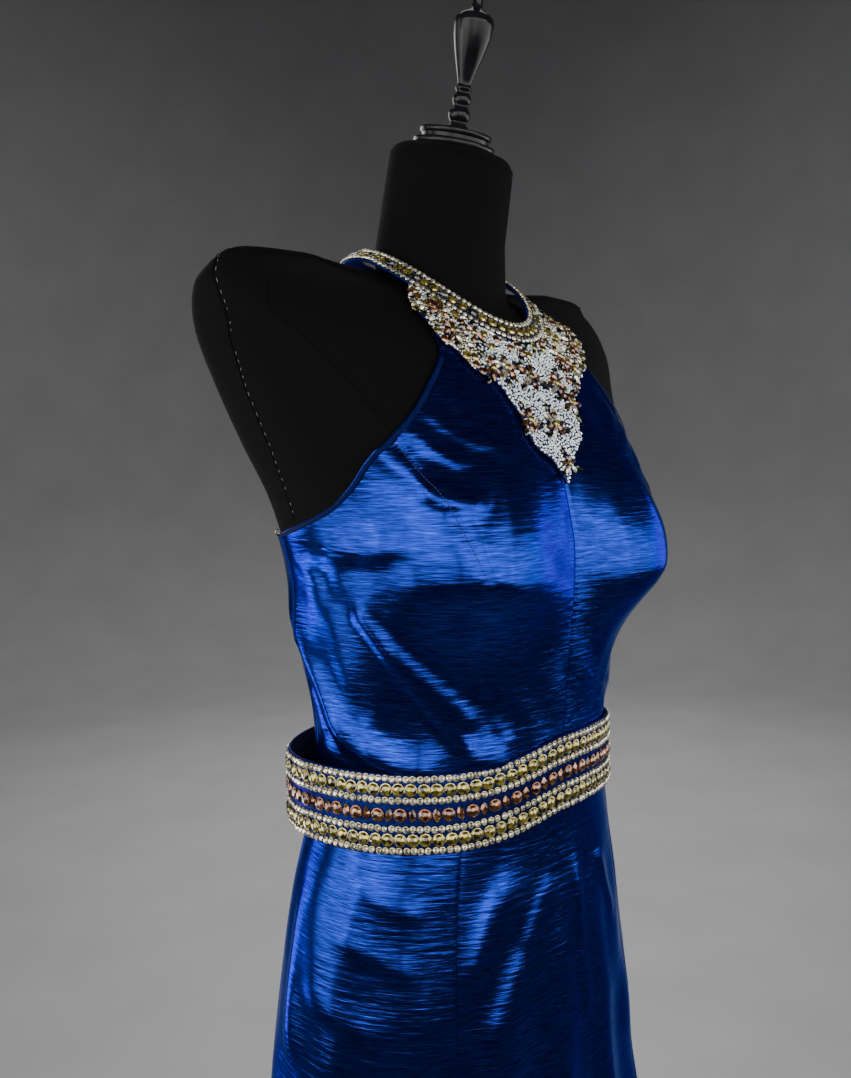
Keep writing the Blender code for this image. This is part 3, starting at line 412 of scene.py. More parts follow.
def add_bump(tree, shader, height, strength, distance, under=None):
    node = add_node(tree, "ShaderNodeBump")
    set_inputs(node, Strength=strength, Distance=distance)
    tree.links.new(height, node.inputs["Height"])
    if under is not None:
        tree.links.new(under, node.inputs["Normal"])
    tree.links.new(node.outputs["Normal"], shader.inputs["Normal"])
    return node.outputs["Normal"]


def mixed(tree, first, second, share, mode="MIX"):
    node = add_node(tree, "ShaderNodeMix", data_type="RGBA", blend_type=mode)
    set_inputs(node, Factor=share)
    tree.links.new(first, node.inputs["A"])
    tree.links.new(second, node.inputs["B"])
    return node.outputs["Result"]


def taffeta():
    """Shot cloth: long fine threads, broader slubs, slow drifts of shade and a slight wave."""
    made, tree, shader = new_material("blue_taffeta_fine")
    place = weave_place(tree)
    threads = stretched_noise(tree, place, (110, 1500, 1), 2.0)
    slubs = stretched_noise(tree, place, (45, 620, 1), 3.0, 0.6)
    drift = stretched_noise(tree, place, (9, 34, 1))
    streak = mixed(tree, threads, slubs, 0.45)
    colour = ramp(tree, streak, (0.34, (0.0013, 0.0036, 0.044)), (0.50, (0.0064, 0.0150, 0.145)),
                  (0.66, (0.0135, 0.0305, 0.300)))
    shade = ramp(tree, drift, (0.30, (0.78, 0.78, 0.80)), (0.70, (1.0, 1.0, 1.0)))
    tree.links.new(mixed(tree, colour, shade, 1.0, "MULTIPLY"), shader.inputs["Base Color"])
    tree.links.new(map_range(tree, streak, 0.3, 0.7, 0.24, 0.14), shader.inputs["Roughness"])
    set_inputs(shader, Metallic=0.94, Specular_Tint=EDGE_TINT)
    waves = stretched_noise(tree, place, (34, 300, 1), 2.0)
    add_bump(tree, shader, waves, 0.5, 0.0008, add_bump(tree, shader, streak, 0.45, 0.0002))
    return made


def form_knit():
    made, tree, shader = new_material("form_knit_fine")
    place = weave_place(tree)
    ribs = add_node(tree, "ShaderNodeTexWave", wave_type="BANDS", bands_direction="Y")
    set_inputs(ribs, Scale=260.0, Distortion=1.2, Detail=2.0, Detail_Scale=1.5)
    tree.links.new(place, ribs.inputs["Vector"])
    fuzz = stretched_noise(tree, place, (900, 1400, 1))
    both = mixed(tree, ribs.outputs["Color"], fuzz, 0.5)
    colour = ramp(tree, both, (0.25, (0.0004, 0.0004, 0.0005)), (0.80, (0.0022, 0.0022, 0.0023)))
    tree.links.new(colour, shader.inputs["Base Color"])
    set_inputs(shader, Roughness=0.82, Specular_IOR_Level=0.04)
    add_bump(tree, shader, both, 0.5, 0.0004)
    return made


def gloss_paint(name, colour, roughness, metallic, coat):
    made, tree, shader = new_material(name)
    place = object_place(tree)
    orange_peel = stretched_noise(tree, place, (220, 220, 220))
    scuffs = stretched_noise(tree, place, (26, 26, 60), 5.0, 0.7)
    lighter = tuple(value * 1.9 for value in colour)
    tree.links.new(ramp(tree, scuffs, (0.35, colour), (0.85, lighter)), shader.inputs["Base Color"])
    rougher = map_range(tree, scuffs, 0.35, 0.75, roughness, roughness + 0.12)
    tree.links.new(rougher, shader.inputs["Roughness"])
    set_inputs(shader, Metallic=metallic, Specular_IOR_Level=0.12, Coat_Weight=coat, Coat_Roughness=0.08)
    add_bump(tree, shader, orange_peel, 0.12, 0.0004)
    return made


def grained(name, grain, detail, dark, light, **inputs):
    """A material that runs from dark to light over a noise, and the noise with it."""
    made, tree, shader = new_material(name)
    grains = stretched_noise(tree, object_place(tree), grain, detail)
    tree.links.new(ramp(tree, grains, (0.30, dark), (0.70, light)), shader.inputs["Base Color"])
    set_inputs(shader, **inputs)
    return made, tree, shader, grains


def satin_trim(name, dark, light, metallic, roughness=0.36, specular=0.2):
    made, tree, shader, fibres = grained(name, (500, 500, 900), 2.0, dark, light, Metallic=metallic,
                                         Roughness=roughness, Specular_IOR_Level=specular,
                                         Specular_Tint=EDGE_TINT)
    add_bump(tree, shader, fibres, 0.4, 0.0003)
    return made


# Painted shade: a navy darker than the belt's satin, put on the belt band's inner face, which stands in shade.
def painted_shade_cloth():
    made, tree, shader, fibres = grained("navy_painted_shade", (600, 600, 900), 2.0, (0.0008, 0.0016, 0.010),
                                         (0.0020, 0.0040, 0.026), Roughness=0.7)
    add_bump(tree, shader, fibres, 0.4, 0.0003)
    return made


def plain_thread(name, dark, light):
    return grained(name, (900, 900, 900), 2.0, dark, light, Roughness=0.8)[0]


def setting_metal(name, dull, bright):
    made, tree, shader, wear = grained(name, (320, 320, 320), 3.0, dull, bright, Metallic=1.0)
    tree.links.new(map_range(tree, wear, 0.3, 0.7, 0.18, 0.34), shader.inputs["Roughness"])
    return made


def celled(name, scale, channel, *stops, **inputs):
    """A material whose colour changes at random from cell to cell."""
    made, tree, shader = new_material(name)
    cells = add_node(tree, "ShaderNodeTexVoronoi", feature="F1")
    set_inputs(cells, Scale=scale)
    tree.links.new(object_place(tree), cells.inputs["Vector"])
    value = add_node(tree, "ShaderNodeSeparateColor")
    tree.links.new(cells.outputs["Color"], value.inputs["Color"])
    tree.links.new(ramp(tree, value.outputs[channel], *stops), shader.inputs["Base Color"])
    set_inputs(shader, **inputs)
    return made


def stone(name, dark, light, roughness=0.10, metallic=0.75):
    """A foiled glass stone: coloured mirror facets of uneven brightness under clear glass."""
    middle = tuple((low + high) / 2 for low, high in zip(dark, light))
    return celled(name, 420.0, "Red", (0.10, dark), (0.55, middle), (0.95, light), Roughness=roughness,
                  Metallic=metallic, Coat_Weight=0.8, Coat_Roughness=0.04)


def bead_glass():
    return celled("seed_beads", 500.0, "Green", (0.0, (0.27, 0.30, 0.295)), (0.5, (0.43, 0.47, 0.46)),
                  (1.0, (0.58, 0.62, 0.61)), Roughness=0.22, Metallic=0.0, Coat_Weight=0.6)


# Meshes

def grid_quads(rows, columns, wrapped=False, flipped=False, first=0):
    row = np.arange(rows - 1)[:, None]
    column = np.arange(columns if wrapped else columns - 1)[None, :]
    after = (column + 1) % columns
    quads = np.stack([row * columns + column, row * columns + after, (row + 1) * columns + after,
                      (row + 1) * columns + column], axis=-1).reshape(-1, 4) + first
    return quads[:, ::-1] if flipped else quads


def signed_volume(points, quads):
    a, b, c, d = (points[quads[:, corner]] for corner in range(4))
    return ((a * np.cross(b, c)).sum() + (a * np.cross(c, d)).sum()) / 6


def link_new(name, data):
    made = bpy.data.objects.new(name, data)
    bpy.context.scene.collection.objects.link(made)
    return made


def mesh_object(name, points, faces, material, smooth=True, weave=None):
    mesh = bpy.data.meshes.new(name)
    mesh.from_pydata(np.asarray(points, float).tolist(), [], [list(map(int, face)) for face in faces])
    mesh.materials.append(material)
    if smooth:
        mesh.shade_smooth()
    if weave is not None:
        attribute = mesh.attributes.new("weave", "FLOAT_VECTOR", "POINT")
        attribute.data.foreach_set("vector", np.asarray(weave, np.float32).ravel())
    return link_new(name, mesh)


def add_mesh(*mesh):
    """A piece of the object; what follows is what mesh_object takes."""
    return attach(mesh_object(*mesh), "root")


def add_wall(name, outer, inner, material, wrapped=False, weave=None):
    """A closed sheet with thickness from two grids of points."""
    rows, columns = outer.shape[:2]
    back = rows * columns
    points = np.concatenate([outer.reshape(-1, 3), inner.reshape(-1, 3)])
    quads = [grid_quads(rows, columns, wrapped), grid_quads(rows, columns, wrapped, True, back)]
    column = np.arange(columns if wrapped else columns - 1)
    after = (column + 1) % columns
    quads.append(np.stack([after, column, column + back, after + back], axis=-1))
    last = (rows - 1) * columns
    quads.append(np.stack([last + column, last + after, last + after + back, last + column + back], axis=-1))
    if not wrapped:
        start = np.arange(rows - 1) * columns
        quads.append(np.stack([start, start + columns, start + columns + back, start + back], axis=-1))
        start = start + columns - 1
        quads.append(np.stack([start + columns, start, start + back, start + columns + back], axis=-1))
    quads = np.concatenate(quads)
    if signed_volume(points, quads) < 0:
        quads = quads[:, ::-1]
    both = None if weave is None else np.concatenate([weave.reshape(-1, 3)] * 2)
    return add_mesh(name, points, quads, material, True, both)


def add_loft(name, rings, material, sharp_angle, weave=None):
    """A closed solid through rings of points, with a flat fan at each end."""
    rows, columns = rings.shape[:2]
    points = rings.reshape(-1, 3)
    quads = grid_quads(rows, columns, True)
    if signed_volume(points, quads) < 0:
        quads = quads[:, ::-1]
        ends = [list(range(columns)), list(range(len(points) - 1, len(points) - columns - 1, -1))]
    else:
        ends = [list(range(columns - 1, -1, -1)), list(range(len(points) - columns, len(points)))]
    made = add_mesh(name, points, list(quads) + ends, material, True, weave)
    made.data.set_sharp_from_angle(angle=radians(sharp_angle))
    return made


def scatter(name, template, origins, axes, scales, material, slot, smooth=False):
    """Copies of a small template at each origin, turned to its axes and scaled, joined as one mesh."""
    shape_points, shape_faces = template
    count, size = len(origins), len(shape_points)
    scales = np.broadcast_to(scales, count)
    points = origins[:, None, :] + np.einsum("vi,nij->nvj", shape_points, axes) * scales[:, None, None]
    faces = [[corner + copy * size for corner in face] for copy in range(count) for face in shape_faces]
    add_mesh(name, points.reshape(-1, 3), faces, material, smooth)


LINE_SAMPLES = 2881


def even_places(point_at, count, start=0.0, end=360.0, wrapped=True):
    """Parameters that divide a curve into equal lengths, and the whole length."""
    samples = np.linspace(start, end, LINE_SAMPLES)
    ring = point_at(samples)
    lengths = np.concatenate([[0.0], np.cumsum(np.linalg.norm(np.diff(ring, axis=0), axis=1))])
    wanted = lengths[-1] * (np.arange(count) / (count if wrapped else count - 1))
    return np.interp(wanted, lengths, samples), lengths[-1]


def surface_axes(point_at, first, second, outward):
    """Axes on a surface given by degrees and a share: along the first, across, and outward."""
    turn_step, share_step = 0.05, 0.002
    along = unit(point_at(first + turn_step, second) - point_at(first - turn_step, second))
    other = point_at(first, second + share_step) - point_at(first, second - share_step)
    normal = unit(np.cross(along, other))
    normal *= np.sign((normal * outward).sum(axis=-1))[:, None]
    return np.stack([along, np.cross(normal, along), normal], axis=1)


def row_places(surface, outward_at, pitch, share, out, multiple=1):
    """Places this far apart round a band, at this share of its height, their number a multiple of this."""
    def line(at):
        return surface(at, share, out)
    _, length = even_places(line, 2)
    at, _ = even_places(line, int(length / pitch / multiple) * multiple)
    axes = surface_axes(lambda first, second: surface(first, second, out), at, share, outward_at(at))
    return line(at), axes, at


def spun(axes, angles):
    """Axes turned about their third one."""
    cosine, sine = np.cos(angles)[:, None], np.sin(angles)[:, None]
    first, second = axes[:, 0], axes[:, 1]
    return np.stack([first * cosine + second * sine, second * cosine - first * sine, axes[:, 2]], axis=1)


# Small templates, each about one unit across its radius, standing on z 0

def turned_template(profile, sides, half_steps=()):
    """A closed shape through rings of (radius, height). The rings in half_steps are turned by half a side."""
    points = []
    for index, (radius, height) in enumerate(profile):
        shift = 0.5 if index in half_steps else 0.0
        for side in range(sides):
            turn = 2 * pi * (side + shift) / sides
            points.append((radius * sin(turn), radius * cos(turn), height))
    faces = []
    for index in range(len(profile) - 1):
        low, high = index * sides, (index + 1) * sides
        here, there = index in half_steps, index + 1 in half_steps
        for side in range(sides):
            after = (side + 1) % sides
            if here == there:
                faces.append([low + side, high + side, high + after, low + after])
            elif there:
                faces.append([low + side, high + side, low + after])
                faces.append([low + after, high + side, high + after])
            else:
                faces.append([low + side, high + after, low + after])
                faces.append([low + side, high + side, high + after])
    faces.append(list(range(sides)))
    faces.append(list(range(len(points) - 1, len(points) - sides - 1, -1)))
    return np.array(points), faces


BRILLIANT = turned_template(((0.70, 0.00), (1.00, 0.30), (0.90, 0.52), (0.52, 0.78)), 8, (3,))
RIVOLI = turned_template(((0.80, 0.00), (1.00, 0.20), (0.97, 0.30), (0.62, 0.54), (0.16, 0.62)), 12, (3,))
CUP = turned_template(((0.80, -0.10), (1.08, 0.04), (1.11, 0.22), (0.94, 0.25)), 10)
SEED = turned_template(((0.55, 0.08), (0.99, 0.42), (0.95, 0.84), (0.45, 1.14)), 7)


def navette_template(width, height):
    """A pointed oval stone with a ridge of facets, one unit long to each side."""
    steps, pointed = 6, 1.8
    outline = []
    for side in (1, -1):
        for step in range(steps):
            along = -1 + 2 * step / steps
            outline.append((side * width * (1 - abs(along) ** pointed), side * along))
    outline = np.array(outline)
    rings = [(0.82, 0.0), (1.0, 0.22 * height), (0.93, 0.42 * height), (0.48, height)]
    points = np.concatenate([np.column_stack([outline * scale, np.full(len(outline), level)])
                             for scale, level in rings])
    count = len(outline)
    faces = grid_quads(len(rings), count, True).tolist()
    return points, faces + [list(range(count - 1, -1, -1)), list(range(len(points) - count, len(points)))]


NAVETTE = navette_template(0.46, 0.42)
WIDE_NAVETTE = navette_template(0.62, 0.46)


# Dress form

# Rings of the form's cover, closest where it turns in at the shoulders. Columns: from rise, to rise, steps
FORM_STRETCHES = ((-0.330, -0.100, 18), (-0.100, 0.130, 26), (0.130, 0.330, 26), (0.330, 0.365, 14),
                  (0.365, 0.371, 16), (0.371, 0.384, 8), (0.384, 0.457, 14))
QUARTER_COLUMNS = 36


def form_rings():
    rises = [FORM_STRETCHES[0][0]]
    for start, end, steps in FORM_STRETCHES:
        rises += [blend(start, end, (step + 1) / steps) for step in range(steps)]
    azimuth = []
    for rise in rises:
        for start in (0, 90, 180, 270):
            quarter, _ = even_places(lambda at: form_point(at, np.full_like(at, rise)), QUARTER_COLUMNS, start,
                                     start + 90)
            azimuth.append(quarter)
    azimuth = np.array(azimuth).reshape(len(rises), -1)
    return azimuth, np.broadcast_to(np.array(rises)[:, None], azimuth.shape)


# The rounded top of the form's neck. Columns: radius, height
NECK_DOME = ((0.0452, 0.0018), (0.0440, 0.0038), (0.0420, 0.0058), (0.0390, 0.0074), (0.0340, 0.0088))
DOME_WEAVE_STEP = 0.003


def neck_ring(radius, height, segments):
    tilt = radians(NECK_TILT)
    top = np.array((0, NECK_TOP_Y, WAIST + NECK_TOP_RISE))
    axis, ahead = np.array((0, -sin(tilt), cos(tilt))), np.array((0, -cos(tilt), -sin(tilt)))
    turn = 2 * pi * np.arange(segments) / segments
    return (top + axis * height + np.array((1.0, 0, 0)) * radius * np.sin(turn)[:, None]
            + ahead * radius * np.cos(turn)[:, None])


def build_form(knit):
    azimuth, rise = form_rings()
    dome = [neck_ring(radius, height, azimuth.shape[1]) for radius, height in NECK_DOME]
    points = np.concatenate([form_point(azimuth, rise), np.array(dome)])
    arc = turned(azimuth) * METRES_PER_DEGREE
    weave = np.stack([arc, rise, np.zeros_like(arc)], axis=-1)
    extra = np.repeat(weave[-1:], len(dome), axis=0)
    extra[..., 1] += np.arange(1, len(dome) + 1)[:, None] * DOME_WEAVE_STEP
    made = add_loft("form_cover", points, knit, 75, np.concatenate([weave, extra]).reshape(-1, 3))
    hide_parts("form_torso")


# Seams of the form's cover. Columns: azimuth, rise
ARM_SEAM = np.array(((-92.0, 0.3640), (-89.1, 0.3571), (-85.0, 0.3390), (-83.6, 0.3254), (-84.3, 0.3123),
                     (-84.9, 0.2976), (-85.9, 0.2828), (-86.6, 0.2634), (-87.5, 0.2439), (-89.4, 0.2260),
                     (-90.9, 0.2090), (-92.0, 0.1950)))
SHOULDER_SEAM = np.array(((-97.0, 0.3600), (-88.0, 0.3668), (-84.0, 0.3698), (-82.0, 0.3720),
                          (-84.0, 0.3840)))
CHEST_SEAM = np.array(((-78.5, 0.3480), (-75.5, 0.3300), (-72.0, 0.3200), (-66.0, 0.3010), (-60.0, 0.2790),
                       (-54.0, 0.2500)))
BACK_SEAM = np.array(((-150.0, 0.100), (-151.0, 0.180), (-147.0, 0.260), (-138.0, 0.330), (-122.0, 0.366)))
CENTRE_BACK = np.array(((180.0, 0.120), (180.0, 0.220), (180.0, 0.320), (180.0, 0.380), (180.0, 0.452)))
CORD_RADIUS, CORD_LIFT = 0.00045, 0.0001
DASH_RADIUS, DASH_LIFT, DASH_BESIDE = 0.00022, 0.0002, 0.7
DASH_LENGTH, DASH_PITCH, DASH_MISSING = 0.011, 0.030, 0.25
# A direction that no cord or thread runs in
ASKEW = np.array((0.137, 0.211, 0.968))


def tube_shape(points, radius, sides=6):
    """Points and faces of a thin closed tube along a line."""
    ahead = unit(np.gradient(points, axis=0))
    across = unit(np.cross(ahead, ASKEW))
    other = np.cross(ahead, across)
    turn = 2 * pi * np.arange(sides) / sides
    ring = (points[:, None] + radius * (across[:, None] * np.cos(turn)[None, :, None]
                                        + other[:, None] * np.sin(turn)[None, :, None]))
    faces = grid_quads(len(points), sides, True).tolist()
    end = len(points) * sides
    return ring.reshape(-1, 3), faces + [list(range(sides - 1, -1, -1)), list(range(end - sides, end))]


def joined(shapes):
    points, faces, start = [], [], 0
    for shape_points, shape_faces in shapes:
        points.append(shape_points)
        faces += [[corner + start for corner in face] for face in shape_faces]
        start += len(shape_points)
    return np.concatenate(points), faces


def add_joined(name, shapes, material, smooth=True):
    points, faces = joined(shapes)
    add_mesh(name, points, faces, material, smooth)


def build_form_seams(knit, thread):
    cords, dashes = [], []
    rng = np.random.default_rng(9)
    for side in (-1, 1):
        for line in (ARM_SEAM, CHEST_SEAM, BACK_SEAM, SHOULDER_SEAM):
            stops = on_stops(line, np.linspace(0, 1, 90))
            cords.append(tube_shape(form_point(-side * stops[:, 0], stops[:, 1], CORD_LIFT), CORD_RADIUS))
            if line is ARM_SEAM or line is BACK_SEAM:
                for start in np.arange(0.02, 0.97, DASH_PITCH):
                    if rng.uniform() < DASH_MISSING:
                        continue
                    place = on_stops(line, np.linspace(start, start + DASH_LENGTH, 4))
                    middle = form_point(-side * (place[:, 0] + DASH_BESIDE), place[:, 1], DASH_LIFT)
                    dashes.append(tube_shape(middle, DASH_RADIUS, 5))
    stops = on_stops(CENTRE_BACK, np.linspace(0, 1, 80))
    cords.append(tube_shape(form_point(stops[:, 0], stops[:, 1], CORD_LIFT), CORD_RADIUS))
    points, faces = joined(cords)
    add_mesh("form_seams", points, faces, knit, True, points[:, (0, 2, 1)])
    add_joined("form_stitches", dashes, thread)


def lathe_on_neck(name, profile, seat, segments, sharp_angle, material, node):
    rings = np.array([neck_ring(radius, seat + height, segments) for radius, height in profile])
    made = add_loft(name, rings, material, sharp_angle)
    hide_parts(node)


# Columns: radius, height
FINIAL_PROFILE = np.array((
    (0.0100, 0.0000), (0.0086, 0.0030), (0.0060, 0.0060), (0.0078, 0.0095), (0.0078, 0.0135),
    (0.0052, 0.0175), (0.0066, 0.0205), (0.0066, 0.0240), (0.0050, 0.0270), (0.0062, 0.0300),
    (0.0050, 0.0330), (0.0078, 0.0430), (0.0110, 0.0540), (0.0134, 0.0640), (0.0144, 0.0710),
    (0.0144, 0.0750), (0.0120, 0.0790), (0.0070, 0.0820), (0.0040, 0.0850), (0.0036, 0.0960),
    (0.0055, 0.1000), (0.0062, 0.1050), (0.0040, 0.1100),
))
CAP_PROFILE = ((0.0300, 0.0000), (0.0306, 0.0008), (0.0306, 0.0032), (0.0300, 0.0040), (0.0256, 0.0046),
               (0.0250, 0.0052), (0.0250, 0.0076), (0.0256, 0.0080), (0.0264, 0.0084), (0.0269, 0.0092),
               (0.0269, 0.0110), (0.0264, 0.0118))


def build_neck_pieces(gloss):
    lathe_on_neck("neck_cap_turned", CAP_PROFILE, CAP_SEAT, 48, 40, gloss, "neck_cap")
    seat = CAP_SEAT + CAP_PROFILE[-1][1] + GAP
    smooth = on_stops(FINIAL_PROFILE, np.linspace(0, 1, (len(FINIAL_PROFILE) - 1) * 4 + 1))
    lathe_on_neck("finial_turned", smooth, seat, 40, 60, gloss, "finial")


# Dress panels

# Creases, each a soft ridge or trough that fades at both ends.
# Columns: from azimuth, from rise, to azimuth, to rise, width, height, bow
BODICE_CREASES = (
    (-51, 0.256, -36, 0.226, 0.0048, 0.0017, 0.003),
    (-47, 0.270, -26, 0.236, 0.0052, 0.0015, 0.005),
    (-40, 0.286, -20, 0.226, 0.0056, 0.0013, 0.006),
    (-50, 0.217, -33, 0.202, 0.0092, 0.0036, 0.002),
    (-52, 0.240, -46, 0.212, 0.0040, 0.0010, 0.002),
    (-73, 0.130, -37, 0.028, 0.0062, 0.0030, 0.003),
    (-82, 0.1785, -67, 0.1745, 0.0016, 0.0011, 0.0010),
    (-98, 0.170, -50, 0.180, 0.0095, 0.0030, 0.002),
    (-66, 0.114, -50, 0.056, 0.0070, 0.0008, -0.004),
    (-117, 0.152, -83, 0.030, 0.0090, 0.0042, 0.002),
    (-104, 0.066, -46, 0.022, 0.0105, 0.0044, 0.009),
    (-38.5, 0.162, -35.5, 0.151, 0.0018, 0.0010, 0.000),
    (-35.8, 0.161, -32.5, 0.155, 0.0017, 0.0008, 0.001),
    (-46, 0.036, -25, 0.030, 0.0135, 0.0042, 0.002),
    (-33, 0.064, -25, 0.038, 0.0045, 0.0009, 0.002),
    (-28, 0.118, -21, 0.052, 0.0075, 0.0007, 0.002),
    (-100, 0.176, -84, 0.150, 0.0060, 0.0008, 0.003),
    (52, 0.252, 38, 0.222, 0.0050, 0.0015, 0.003),
    (46, 0.268, 26, 0.234, 0.0055, 0.0013, -0.005),
    (40, 0.284, 21, 0.230, 0.0060, 0.0010, -0.005),
    (70, 0.128, 40, 0.046, 0.0060, 0.0014, -0.004),
    (84, 0.1775, 70, 0.1740, 0.0020, 0.0010, -0.001),
    (96, 0.120, 84, 0.042, 0.0080, 0.0013, -0.003),
    (84, 0.084, 60, 0.036, 0.0065, 0.0010, -0.003),
    (44, 0.078, 30, 0.036, 0.0055, 0.0010, 0.003),
    (-162, 0.112, -125, 0.072, 0.0075, 0.0013, 0.005),
    (-168, 0.086, -128, 0.052, 0.0060, 0.0012, 0.004),
    (-165, 0.056, -132, 0.036, 0.0055, 0.0012, -0.003),
    (158, 0.118, 124, 0.076, 0.0075, 0.0013, 0.005),
    (166, 0.084, 130, 0.056, 0.0060, 0.0012, 0.003),
    (168, 0.060, 135, 0.038, 0.0055, 0.0011, 0.003),
)


CREASE_FADE, CREASE_SLOPES = 0.25, (0.75, 1.3)
Ripple = namedtuple("Ripple", "height seed length")
BODICE_RIPPLE, SKIRT_RIPPLE, RIPPLE_WAVES = Ripple(0.00022, 5, 0.034), Ripple(0.0003, 11, 0.045), 9


def crease_reach(azimuth, rise, creases):
    total = np.zeros(np.broadcast(azimuth, rise).shape)
    for from_azimuth, from_rise, to_azimuth, to_rise, width, height, bow in creases:
        start_x, start_z = from_azimuth * METRES_PER_DEGREE, from_rise
        run_x, run_z = to_azimuth * METRES_PER_DEGREE - start_x, to_rise - start_z
        length = np.hypot(run_x, run_z)
        from_x, from_z = azimuth * METRES_PER_DEGREE - start_x, rise - start_z
        along = (from_x * run_x + from_z * run_z) / length**2
        side = (from_x * run_z - from_z * run_x) / length - bow * np.sin(pi * np.clip(along, 0, 1))
        fade = ease(along / CREASE_FADE) * ease((1 - along) / CREASE_FADE)
        slope = np.where(side > 0, *CREASE_SLOPES)
        total += height * fade * np.exp(-(side / (width * slope)) ** 2)
    return total


def ripple_reach(azimuth, rise, ripple):
    """A gentle unevenness of about this height, from a few seeded waves."""
    rng = np.random.default_rng(ripple.seed)
    x, z = azimuth * METRES_PER_DEGREE, rise
    total = 0.0
    for _ in range(RIPPLE_WAVES):
        angle, phase, stretch = rng.uniform(-0.9, 0.9), rng.uniform(0, 2 * pi), rng.uniform(0.7, 1.5)
        total = total + np.sin(2 * pi * (x * cos(angle) + z * sin(angle)) / (ripple.length * stretch) + phase)
    return ripple.height * (total / np.sqrt(RIPPLE_WAVES / 2))


# Stitched lines of the darts, each a narrow groove. Columns: from azimuth, from rise, to azimuth, to rise
DARTS = (
    (-53.4, 0.2457, -48.3, 0.225), (-48.3, 0.225, -43.7, 0.208), (-43.7, 0.208, -38.9, 0.173),
    (-38.9, 0.173, -36.6, 0.156), (-36.4, 0.146, -35.5, 0.110), (-35.5, 0.110, -36.4, 0.075),
    (-36.4, 0.075, -38.4, 0.0400),
)
ARMHOLE_DART_LINES = 4
DART_DEPTH, DART_WIDTH = 0.0014, 0.0010


def dart_reach(azimuth, rise):
    total = 0.0
    for line in DARTS:
        away, _ = away_from_line(-np.abs(azimuth), rise, line)
        total = np.minimum(total, -DART_DEPTH * np.exp(-(away / DART_WIDTH) ** 2))
    return total


# The fine form of the cloth fades out towards the neckline, the belt and the waist seam
NECKLINE_FADE_RISE, NECKLINE_FADE = 0.305, 0.02
BELT_FADE_OVER, BELT_FADE = 0.016, 0.010
SKIRT_FADE_UNDER, SKIRT_FADE = 0.02, 0.05


def bodice_cloth(azimuth, rise, out):
    near = turned(azimuth)
    fine = crease_reach(near, rise, BODICE_CREASES) + ripple_reach(near, rise, BODICE_RIPPLE)
    fine = fine + dart_reach(near, rise)
    shown = ease((NECKLINE_FADE_RISE - rise) / NECKLINE_FADE)
    shown = shown * ease((rise - belt_rise(near) - BELT_FADE_OVER) / BELT_FADE)
    return bodice_point(azimuth, rise, out + fine * shown)


# How soon a panel's rows leave the waist seam's line: at one over this of its height
SIDE_BLEND, FRONT_BLEND, BACK_BLEND = 4, 6, 3
# About how far the cloth is from the middle of the body at each seam
FRONT_REACH, SIDE_REACH, BACK_REACH, SKIRT_REACH = 0.08, 0.12, 0.10, 0.11
EDGE_ROLL, EDGE_ROLL_WIDTH, INNER_ROLL, END_CLOSENESS = 0.0007, 0.0014, 0.2, 0.75


def front_edge(share):
    seam = on_stops(SIDE_SEAM, share / SEAM_SHARE)
    seam[..., 1] = blend(seam_rise(SIDE_SEAM[0, 0]), seam[..., 1], ease(share / SEAM_SHARE * SIDE_BLEND))
    armhole = on_stops(ARMHOLE, (share - SEAM_SHARE) / (1 - SEAM_SHARE))
    return np.where((share <= SEAM_SHARE)[..., None], seam, armhole)


def gap_degrees(reach):
    return degrees(SEAM_SHOWN / 2 / reach)


def front_place(across, up):
    edge = front_edge(up)
    centre_rise = blend(seam_rise(0.0), NECKLINE_RISE, up)
    azimuth = blend(gap_degrees(FRONT_REACH), edge[..., 0] - gap_degrees(SIDE_REACH), across)
    rise = blend(centre_rise, edge[..., 1], across)
    seam = seam_rise(azimuth) + GAP / 2 + up * (NECKLINE_RISE - seam_rise(0.0))
    return azimuth, blend(rise, seam, ease(1 - FRONT_BLEND * up))


def back_place(across, up):
    edge = front_edge(up * SEAM_SHARE)
    azimuth = blend(edge[..., 0] + gap_degrees(SIDE_REACH), 180 - gap_degrees(BACK_REACH), across)
    centre_rise = blend(seam_rise(180.0), BACK_TOP_RISE, up)
    rise = blend(edge[..., 1], centre_rise, ease(across))
    seam = seam_rise(azimuth) + GAP / 2 + up * (BACK_TOP_RISE - seam_rise(180.0))
    return azimuth, blend(rise, seam, ease(1 - BACK_BLEND * up))


def close_at_ends(count):
    """Shares from 0 to 1 that lie closer together towards both ends."""
    share = np.linspace(0, 1, count)
    return blend(share, (1 - np.cos(pi * share)) / 2, END_CLOSENESS)


def add_panel(name, azimuth, rise, point_at, across, width, material):
    """A panel of cloth whose edges roll in at the seams on both sides of it."""
    dip = 0.0
    for distance in (across * width, (1 - across) * width):
        dip = dip - EDGE_ROLL * np.exp(-(distance / EDGE_ROLL_WIDTH) ** 2)
    outer, inner = point_at(azimuth, rise, dip), point_at(azimuth, rise, -CLOTH + dip * INNER_ROLL)
    arc = turned(azimuth) * METRES_PER_DEGREE
    piece = name + "_cloth"
    weave = np.stack([arc, rise, np.full_like(arc, len(piece))], axis=-1)
    made = add_wall(piece, outer, inner, material, False, weave)
    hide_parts(name)


def build_front(side, name, material):
    up = np.concatenate([np.linspace(0, SEAM_SHARE, 70)[:-1], np.linspace(SEAM_SHARE, 1, 80)])
    across, up = np.meshgrid(close_at_ends(100), up)
    azimuth, rise = front_place(across, up)
    width = azimuth[:, -1:] * METRES_PER_DEGREE
    add_panel(name, side * azimuth, rise, bodice_cloth, across, width, material)


def build_back(side, name, material):
    across, up = np.meshgrid(close_at_ends(70), np.linspace(0, 1, 70))
    azimuth, rise = back_place(across, up)
    width = (azimuth[:, -1:] - azimuth[:, :1]) * METRES_PER_DEGREE
    add_panel(name, side * azimuth, rise, bodice_cloth, across, width, material)


